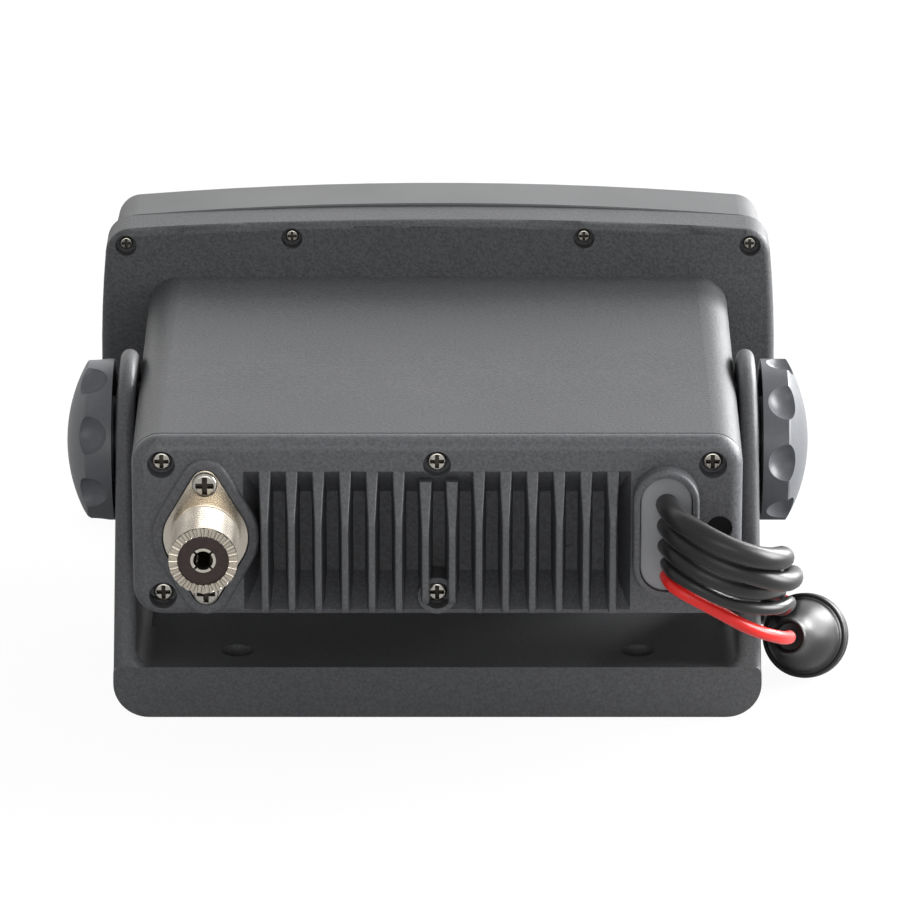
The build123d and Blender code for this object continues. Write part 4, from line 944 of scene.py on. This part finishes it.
@dataclass(frozen=True)
class Loom:
    """The five leads out of the gland, the fuse holder on the red one, and the plugs."""

    bend_from: Point = (-53.0, 64.0, 62.0)
    bend_to: Point = (-88.0, -10.0, 20.0)
    network: tuple[Point, ...] = (
        (-53, 62.5, 66.5), (-53.6, 72.6, 67.2), (-58.4, 80.4, 66.6), (-65.6, 84, 63.6),
        (-73.6, 82.6, 60.2), (-79.2, 76.4, 57.8), (-80.2, 67.6, 55), (-79, 56.8, 50.8),
        (-79.4, 43.6, 45.6), (-80.8, 29.2, 40.2), (-81.6, 14.2, 34.4), (-81.6, -0.6, 28.4),
        (-81.6, -14.6, 21.8), (-81.8, -28.4, 15.2), (-81.6, -42, 9.4), (-80, -56, 5),
        (-76, -70, 2.65), (-69, -83, 2.65), (-60.8, -96.4, 2.65), (-52.2, -109, 2.65),
        (-43, -121, 2.65), (-34.8, -133, 2.65), (-29.6, -145.4, 4.8), (-28, -158, 6.8))
    speaker: tuple[Point, ...] = (
        (-53, 62.5, 61.25), (-53.9, 70, 61.4), (-59.2, 76.8, 60), (-66, 79.8, 57.2),
        (-73.8, 78.6, 54.2), (-79.4, 74.4, 51.2), (-82.4, 68, 49.6), (-82.8, 57.8, 47),
        (-83.6, 44.6, 41.4), (-84.4, 29.6, 35.4), (-85.4, 14.4, 29.8), (-86.2, -0.6, 24.6),
        (-87, -14.8, 18.8), (-87.6, -28.6, 13.2), (-87.4, -42.4, 7.8), (-86, -56, 3.8),
        (-82, -70, 2.45), (-75.6, -84, 2.45), (-68, -98, 2.45), (-60, -111, 2.45),
        (-52.4, -124, 2.45), (-46.8, -137, 2.45), (-44.2, -148.6, 4), (-43.6, -160, 5.4))
    data: tuple[Point, ...] = (
        (-53, 62.6, 56.3), (-54, 68, 56.4), (-57.4, 72.2, 55.2), (-61.8, 74.6, 52.9),
        (-67.8, 74.6, 50.4), (-73.4, 72, 48.2), (-77.6, 65.3, 46), (-79.2, 55.4, 42),
        (-80, 44.2, 37.4), (-80.5, 32.2, 32.9), (-80.4, 18.6, 29), (-81.3, 3.6, 24.8),
        (-82.4, -11, 17.4), (-83.2, -24, 10), (-81.2, -35.2, 4.6), (-75.4, -45, 2.3),
        (-66.6, -54, 2.3), (-58.4, -64, 2.3), (-52, -75, 2.3), (-46.4, -86.4, 2.3),
        (-39, -97, 2.3), (-28.6, -105.4, 2.3), (-17.2, -108.9, 4.1), (-6, -109.4, 6))
    black: tuple[Point, ...] = (
        (-53, 62.6, 52.2), (-53.6, 67.9, 52), (-56.2, 71.2, 51), (-60.5, 73.1, 49.2),
        (-66.4, 72.6, 45.8), (-73.6, 70.6, 43.2), (-79.6, 65.3, 41.4), (-82.4, 57.2, 40.2),
        (-82.6, 47.8, 35.2), (-81, 35.2, 29.2), (-80.2, 20.6, 25.3), (-79.6, 3.8, 21.1),
        (-80.8, -9.8, 13.2), (-82.2, -21.6, 5.6), (-80.4, -31.2, 1.6), (-73.8, -38.8, 1.6),
        (-64.6, -45.6, 1.6), (-56, -53.6, 1.6), (-49.6, -63.4, 1.6), (-44.4, -74.6, 1.6),
        (-38.4, -85, 1.6), (-29.6, -93, 1.6), (-18, -97.4, 1.6), (-5, -99, 1.6), (9, -99.4, 1.6),
        (22, -99.8, 1.6), (35, -100.4, 1.6), (46.9, -101.5, 1.6))
    red: tuple[Point, ...] = (
        (-53, 62.6, 49), (-53.4, 67.4, 48.85), (-55.5, 70, 47.8), (-59.3, 71, 45.9),
        (-64.8, 69.9, 42.5), (-72.6, 67.4, 37), (-80, 60.6, 32.2), (-82.8, 49.8, 28),
        (-83.4, 36.8, 23.4), (-83.85, 23, 17.9))
    red_tail: tuple[Point, ...] = (
        (-95.4, -19.2, 2.4), (-96, -21.6, 1.6), (-96.5, -27.5, 1.6), (-94, -36, 1.6),
        (-87.5, -43.5, 1.6), (-79.5, -50.5, 1.6), (-72, -57.5, 1.6), (-66, -66.5, 1.6),
        (-60.5, -77.5, 1.6), (-54.5, -88.5, 1.6), (-47.5, -99, 1.6), (-38, -108.5, 1.6),
        (-26, -115, 1.6), (-12.5, -120, 1.6), (0.9, -123.1, 1.6))

    def build(self) -> None:
        """Makes the fittings first, then each lead with the pieces on it."""
        bends = {"bend_from": self.bend_from, "bend_to": self.bend_to}
        for name, route, radius, length in (("network", self.network, 2.6, 0.303),
                                            ("speaker", self.speaker, 2.4, 0.293),
                                            ("data", self.data, 2.25, 0.258)):
            plug = dress(name + "_plug", PLUG)
            Lead(name + "_lead", name + "_cable", route, radius, JACKET, "cable_black",
                 FarEnd.CONNECTOR, length, **bends).build([plug])
        power_radius = 1.55
        black_coil, red_coil = Coil((60.0, -119.0)), Coil((14.0, -141.0))
        for lead, coil, coil_node in (
                (Lead("black_power_lead", "power_lead_black", self.black, power_radius, JACKET,
                      "cable_black", FarEnd.BARE, 0.876, "coiled", black_coil, **bends),
                 black_coil, "power_lead_black_coil"),
                (Lead("red_power_tail", "power_lead_red_tail", self.red_tail, power_radius,
                      RED_JACKET, "wire_red", FarEnd.BARE, 0.727, "coiled", red_coil),
                 red_coil, "power_lead_red_coil")):
            riders = [coil.tie(lead.name + "_tie_" + side, degrees)
                      for side, degrees in (("near", 40.0), ("far", 215.0))]
            riders.append(StrandedEnd(lead.name + "_bare_end").build(lead.line()))
            lead.build(riders, [coil_node])
        Lead("red_power_lead", "power_lead_red", self.red, power_radius, RED_JACKET, "wire_red",
             FarEnd.FITTING, 0.080, bend_from=(-53, 66, 49), bend_to=(-83.8, 23, 18)).build(
                 FuseHolder().build())


# ---- casings, cradle and clamps -----------------------------------------------------------


@dataclass(frozen=True)
class PanScrews:
    """Cross-recessed pan head screws that face the back, with painted shade in their recesses."""

    node: str
    places: tuple[tuple[float, float], ...]
    seat_y: float
    head_radius: float
    head_thick: float
    spread: float

    def axis(self, point: Vector) -> Vector:
        """Gives the point of the nearest screw's axis that is level with a point."""
        axes = [Vector((x, point.y, z)) for x, z in self.places]
        return min(axes, key=lambda place: (point - place).length)

    def in_shaded_recess(self, middle: Vector, normal: Vector) -> bool:
        """Tells the walls and the floor of the cross, which take painted shade, from the rest of
        the head.

        Args:
            middle: A face's middle, in millimetres.
            normal: Its normal.

        Returns:
            True in the recess.
        """
        bottom, top, reach = 0.1, 0.35, 0.82  # shares of the head's thickness and of its radius
        sideways, backwards = 0.3, 0.9  # how much of a wall's and of a floor's normal is along Y
        height = (middle.y - self.seat_y) / self.head_thick
        wall = abs(normal.y) < sideways and height > bottom
        floor = normal.y > backwards and bottom < height < top
        return (wall or floor) and (middle - self.axis(middle)).length < reach * self.head_radius

    def spread_head(self, point: Vector) -> Vector:
        """Draws the head a little wider than the CAD head, and leaves the shank.

        Args:
            point: A vertex, in millimetres.

        Returns:
            Its new place.
        """
        if point.y < self.seat_y - 0.01:
            return point
        axis = self.axis(point)
        return axis + (point - axis) * self.spread

    def build(self) -> None:
        """Makes the set as one piece, with painted shade in the cross recesses."""
        copy_with_painted_shade(self.node, self.node + "_driven", "screw_steel", (STEEL, RECESS_SHADE),
                 self.in_shaded_recess, self.spread_head)


@dataclass(frozen=True)
class Casings:
    """The rear housing, the front cover, the finned heat sink and what closes them."""

    middle_z: float = 59.2
    cover_screws: tuple[tuple[float, float], ...] = (
        (-77.4, 90.4), (77.4, 90.4), (-36.2, 92.3), (36.2, 92.3))
    sink_screws: tuple[tuple[float, float], ...] = (
        (-63.8, 74.8), (0.0, 74.8), (63.8, 74.8), (-63.8, 42.5), (0.0, 42.5), (63.8, 42.5))

    def build(self) -> None:
        """Dresses the mouldings, the casting, the fasteners and the seals."""
        for node, finish in (("rear_housing", CASING), ("front_cover", COVER),
                             ("heat_sink", SINK), ("cable_gland", GLAND), ("casing_seals", SEAL),
                             ("board_screws", STEEL), ("vent_plug", VENT)):
            dress(node, finish)
        mirrored = tuple((x, 2 * self.middle_z - z) for x, z in self.cover_screws)
        PanScrews("bezel_screws", self.cover_screws + mirrored, seat_y=-61.2, head_radius=1.5,
                  head_thick=1.1, spread=1.07).build()
        PanScrews("heat_sink_screws", self.sink_screws, seat_y=56.0, head_radius=2.15,
                  head_thick=1.6, spread=1.07).build()


class Cradle:
    """The swivel bracket with its two clamp knobs."""

    def build(self) -> None:
        """Dresses the bracket, each side's knob, stud and washer, then the pads and inserts."""
        dress("bracket", CRADLE)
        for side in ("right", "left"):
            dress(side + "_clamp_knob", KNOB)
            dress(side + "_knob_stud", STUD)
            # The washers' near-black finish is partly painted shade of the knob-to-arm gap.
            dress(side + "_washer", BLACK_ZINC_AND_GAP_SHADE)
        dress("friction_pads", PAD)
        dress("knob_inserts", BRASS)


@dataclass(frozen=True)
class AerialSocket:
    """The threaded aerial socket with its insulator, contact and two screws."""

    across: float = 53.7
    up: float = 57.2
    seat_y: float = 60.6
    screw_rise: float = 13.3
    spring_bore: float = 1.1
    bore_radius: float = 2.05
    outer_radius: float = 7.9375
    root_radius: float = 7.2
    # 24 to the inch is 1.06 mm, too fine to show at this size, so it is drawn a third coarser.
    pitch: float = 1.42
    # The ridge's width at its foot and at its crest, as shares of the pitch.
    ridge_foot: float = 0.62
    ridge_crest: float = 0.16
    # Only the barrel's outside lies further from the axis than this.
    barrel_skin: float = 7.5
    thread_from: float = 61.6
    thread_to: float = 75.2

    def thread(self) -> Mesh:
        """Winds the thread as one ridge along a helix.

        Returns:
            The ridge round Z, from its root at zero upwards.
        """
        sunk = 0.15  # how far the ridge's foot reaches into the barrel
        depth = (self.outer_radius - self.root_radius + sunk) * MM
        tree, given, realised = geometry_tree("socket_thread", {
            "Middle Radius": ("NodeSocketFloat", self.outer_radius * MM - depth / 2),
            "Depth": ("NodeSocketFloat", depth), "Pitch": ("NodeSocketFloat", self.pitch * MM),
            "Turns": ("NodeSocketFloat", 12.0)}, NICKEL)
        rise, root, crest = (
            add(tree, "ShaderNodeMath", {"operation": "MULTIPLY"},
                {0: given.outputs["Pitch"], 1: factor}).outputs[0]
            for factor in (given.outputs["Turns"], self.ridge_foot, self.ridge_crest))
        line = add(tree, "GeometryNodeCurveSpiral", links={
            "Resolution": 96, "Rotations": given.outputs["Turns"],
            "Start Radius": given.outputs["Middle Radius"],
            "End Radius": given.outputs["Middle Radius"], "Height": rise})
        upright = add(tree, "GeometryNodeSetCurveNormal", {"mode": "Z_UP"}, {0: line.outputs[0]})
        section = add(tree, "GeometryNodeCurvePrimitiveQuadrilateral", {"mode": "TRAPEZOID"}, {
            "Bottom Width": root, "Top Width": crest, "Offset": 0.0,
            "Height": given.outputs["Depth"]})
        turned = add(tree, "GeometryNodeTransform", links={
            "Geometry": section.outputs[0], "Rotation": (0.0, 0.0, math.radians(90))})
        ridge = add(tree, "GeometryNodeCurveToMesh", links={
            0: upright.outputs[0], 1: turned.outputs[0], "Fill Caps": True})
        tree.links.new(ridge.outputs[0], realised.inputs[0])
        turns = (self.thread_to - self.thread_from) / self.pitch
        return grown("socket_thread", tree, {"Turns": turns})

    def shell(self) -> Piece:
        """Turns the barrel down to the thread's root, paints shade on the roots and puts the ridge
        round it.

        Returns:
            The piece.
        """
        mesh = merged_copy("socket_shell")
        work = bmesh.new()
        work.from_mesh(mesh)
        lead_in = 0.35
        levels = (self.thread_from - lead_in, self.thread_from, self.thread_to,
                  self.thread_to + lead_in)
        for level in levels:
            whole = list(work.verts) + list(work.edges) + list(work.faces)
            bmesh.ops.bisect_plane(work, geom=whole, plane_co=(0, level * MM, 0),
                                   plane_no=(0, 1, 0), dist=1e-7)
        for vert in work.verts:
            x, y, z = vert.co.x / MM - self.across, vert.co.y / MM, vert.co.z / MM - self.up
            radius = math.hypot(x, z)
            if radius > self.barrel_skin and levels[1] - 0.01 < y < levels[2] + 0.01:
                vert.co.x = (self.across + x / radius * self.root_radius) * MM
                vert.co.z = (self.up + z / radius * self.root_radius) * MM
        work.to_mesh(mesh)
        work.free()
        # The second material paints shade on the barrel's roots between the thread's ends.
        mesh.materials.clear()
        mesh.materials.append(NICKEL.material())
        mesh.materials.append(ROOT_SHADE.material())
        for face in mesh.polygons:
            x, y, z = face.center / MM
            radius = math.hypot(x - self.across, z - self.up)
            root_shaded = self.root_radius - 0.1 < radius < self.root_radius + 0.05
            face.material_index = int(root_shaded and levels[1] < y < levels[2])
        ridge = self.thread()
        ridge.transform(Matrix.Translation((self.across * MM, self.thread_from * MM, self.up * MM))
                        @ Matrix.Rotation(math.radians(-90), 4, "X"))
        joined = bmesh.new()
        joined.from_mesh(mesh)
        joined.from_mesh(ridge)
        bmesh.ops.recalc_face_normals(joined, faces=joined.faces)
        joined.to_mesh(mesh)
        joined.free()
        bpy.data.meshes.remove(ridge)
        shade_by_angle(mesh, METAL_CREASE)
        return settle(mesh_object("socket_shell_threaded", mesh), Body.RADIO, "socket_nickel",
                      "socket_shell")

    def in_bore(self, point: Vector, room: float) -> bool:
        """Tells whether a point (mm) lies in the contact's bore, give or take some room."""
        away = math.hypot(point.x - self.across, point.z - self.up)
        return away < self.bore_radius + room

    def widened(self, point: Vector) -> Vector:
        """Thins the split contact's wall to a spring's, by a wider bore.

        Args:
            point: A vertex, in millimetres.

        Returns:
            Its new place.
        """
        axis = Vector((self.across, point.y, self.up))
        return axis + (point - axis) * self.spring_bore if self.in_bore(point, 0.05) else point

    def build(self) -> None:
        """Makes the threaded shell, the contact with painted shade in its bore and the screws, and
        dresses the insulator.
        """
        self.shell()
        dress("socket_insulator", INSULATOR)
        # The contact's bore takes painted shade.
        copy_with_painted_shade("socket_contact", "socket_contact_split", "contact_brass", (SILVER, RECESS_SHADE),
                 lambda middle, normal: self.in_bore(middle, 0.02), self.widened)
        places = tuple((self.across, self.up + side * self.screw_rise) for side in (-1, 1))
        PanScrews("socket_screws", places, seat_y=self.seat_y, head_radius=2.6, head_thick=1.9,
                  spread=1.13).build()


class Fascia:
    """The working face: display, keys, dials, loudspeaker, distress key and microphone socket."""

    def build(self) -> None:
        """Dresses the controls and what lies behind them."""
        for node, finish in (
                ("display_lens", LENS), ("lcd_module", PANEL), ("keypad_mat", KEYS),
                ("front_board", BOARD), ("main_board", BOARD), ("transmitter_shield", TIN),
                ("power_amplifier", AMPLIFIER), ("speaker", CONE), ("dial_encoders", TIN),
                ("channel_16_key", KEYS), ("distress_cover", FLAP), ("distress_key", FLAP),
                ("distress_hinge_pin", STEEL), ("microphone_socket", NICKEL),
                ("microphone_insert", INSULATOR), ("microphone_pins", BRASS),
                ("volume_shaft", STUD), ("channel_shaft", STUD), ("soft_key_1", KEYS),
                ("soft_key_2", KEYS), ("soft_key_3", KEYS), ("soft_key_4", KEYS),
                ("volume_knob", DIAL), ("channel_knob", DIAL)):
            dress(node, finish)


# ---- studio -------------------------------------------------------------------------------


@dataclass(frozen=True)
class Lamp:
    """One rectangular soft lamp."""

    name: str
    place: Point
    aim: Point
    size: tuple[float, float]
    power: float

    def build(self) -> None:
        """Hangs the lamp and turns it to what it lights."""
        data = bpy.data.lights.new(self.name, "AREA")
        data.shape = "RECTANGLE"
        data.size, data.size_y = self.size
        data.energy = self.power
        lamp = bpy.data.objects.new(self.name, data)
        lamp.location = self.place
        ahead = Vector(self.aim) - Vector(self.place)
        lamp.rotation_euler = ahead.to_track_quat("-Z", "Y").to_euler()
        bpy.context.scene.collection.objects.link(lamp)


@dataclass(frozen=True)
class Studio:
    """White floor and backdrop, window light from the right of the view and a long lens."""

    lens_mm: float = 251.2
    camera_place: Point = (-0.0030, 1.4268, 0.5625)
    camera_above: float = 19.5
    reach: float = 6.0
    # What the camera sees of the floor: this share of a glow that is a little over white.
    floor_share: float = 0.86
    floor_glow: float = 1.1
    # The room's and the backdrop's light on the set; direct views show 1, and gloss a bit more.
    room_light: float = 0.52
    paper_light: float = 0.58
    gloss_gain: float = 1.75
    lamps: tuple[Lamp, ...] = (
        Lamp("right_window", (-1.3, -0.1, 0.45), (0, 0, 0.05), (0.7, 0.9), 34.0),
        Lamp("right_back_window", (-1.0, -1.0, 0.5), (0, 0, 0.05), (0.6, 0.8), 27.0),
        Lamp("over_camera", (-0.1, 1.9, 0.66), (0, 0, 0.03), (1.0, 0.35), 3.5),
        Lamp("low_front", (0.0, 1.6, 0.25), (0, 0, 0.03), (1.6, 0.25), 2.0),
    )

    def sheet(self, name: str, corners: Sequence[Point], title: str) -> Tree:
        """Sets up one flat stage sheet with a bare material.

        Args:
            name: Its name.
            corners: Its four corners, in metres.
            title: Its material's name.

        Returns:
            The material's empty tree.
        """
        mesh = bpy.data.meshes.new(name)
        mesh.from_pydata(corners, [], [(0, 1, 2, 3)])
        material = bpy.data.materials.new(title)
        mesh.materials.append(material)
        mesh_object(name, mesh)
        return bare_tree(material)

    def floor(self) -> None:
        """Lays a white floor that keeps the set's soft shadow."""
        far = self.reach
        tree = self.sheet("floor", ((-far, -far, 0), (far, -far, 0), (far, far, 0),
                                    (-far, far, 0)), "white_paper_floor")
        paper = add(tree, "ShaderNodeBsdfDiffuse", links={"Color": linear("b4b4b4")})
        glow = add(tree, "ShaderNodeEmission", links={
            "Color": (1, 1, 1, 1), "Strength": self.floor_glow})
        rays = add(tree, "ShaderNodeLightPath")
        share = add(tree, "ShaderNodeMath", {"operation": "MULTIPLY"},
                    {0: rays.outputs["Is Camera Ray"], 1: self.floor_share})
        mixed = add(tree, "ShaderNodeMixShader", links={
            0: share.outputs[0], 1: paper.outputs[0], 2: glow.outputs[0]})
        add(tree, "ShaderNodeOutputMaterial", links={"Surface": mixed.outputs[0]})

    def backdrop(self) -> None:
        """Hangs white paper far behind the set, which its tops reflect at a low angle."""
        far, away, high = self.reach, -4.0, 5.0
        tree = self.sheet("backdrop", ((-far, away, 0), (far, away, 0), (far, away, high),
                                       (-far, away, high)), "lit_paper_backdrop")
        rays = add(tree, "ShaderNodeLightPath")
        gloss = add(tree, "ShaderNodeMath", {"operation": "MULTIPLY"},
                    {0: rays.outputs["Is Glossy Ray"], 1: self.gloss_gain})
        direct = add(tree, "ShaderNodeMath", {"operation": "MAXIMUM"},
                     {0: rays.outputs["Is Camera Ray"], 1: gloss.outputs[0]})
        seen = add(tree, "ShaderNodeMath", {"operation": "MAXIMUM"},
                   {0: direct.outputs[0], 1: rays.outputs["Is Transmission Ray"]})
        level = add(tree, "ShaderNodeMapRange", {"clamp": False}, {
            "Value": seen.outputs[0], "To Min": self.paper_light, "To Max": 1.0})
        glow = add(tree, "ShaderNodeEmission", links={
            "Color": (1, 1, 1, 1), "Strength": level.outputs["Result"]})
        add(tree, "ShaderNodeOutputMaterial", links={"Surface": glow.outputs[0]})

    def world(self) -> None:
        """Fills the room with even pale light, and shows white to the camera and through glass."""
        world = bpy.data.worlds.new("studio")
        bpy.context.scene.world = world
        tree = bare_tree(world)
        rays = add(tree, "ShaderNodeLightPath")
        seen = add(tree, "ShaderNodeMath", {"operation": "MAXIMUM"},
                   {0: rays.outputs["Is Camera Ray"], 1: rays.outputs["Is Transmission Ray"]})
        level = add(tree, "ShaderNodeMapRange", links={
            "Value": seen.outputs[0], "To Min": self.room_light, "To Max": 1.0})
        light = add(tree, "ShaderNodeBackground", links={
            "Color": (1, 1, 1, 1), "Strength": level.outputs["Result"]})
        add(tree, "ShaderNodeOutputWorld", links={"Surface": light.outputs[0]})

    def camera(self) -> None:
        """Sets the long lens behind the set, looking down on it."""
        data = bpy.data.cameras.new("camera")
        data.sensor_width = 36.0
        data.lens = self.lens_mm
        data.clip_start, data.clip_end = 0.05, 50.0
        camera = bpy.data.objects.new("camera", data)
        camera.location = self.camera_place
        camera.rotation_euler = (math.radians(90 - self.camera_above), 0.0, math.pi)
        bpy.context.scene.collection.objects.link(camera)
        bpy.context.scene.camera = camera

    def build(self) -> None:
        """Sets up the whole studio."""
        self.camera()
        self.floor()
        self.backdrop()
        self.world()
        for lamp in self.lamps:
            lamp.build()
        bpy.context.scene.view_settings.view_transform = "Standard"


def main() -> None:
    """Builds the studio and every sub-assembly, in order."""
    logging.basicConfig(level=logging.INFO, format="%(name)s %(message)s")
    Studio().build()
    for assembly in (Loom(), Cradle(), Casings(), AerialSocket(), Fascia()):
        LOG.info("building %s", type(assembly).__name__)
        assembly.build()


if __name__ == "__main__":
    main()
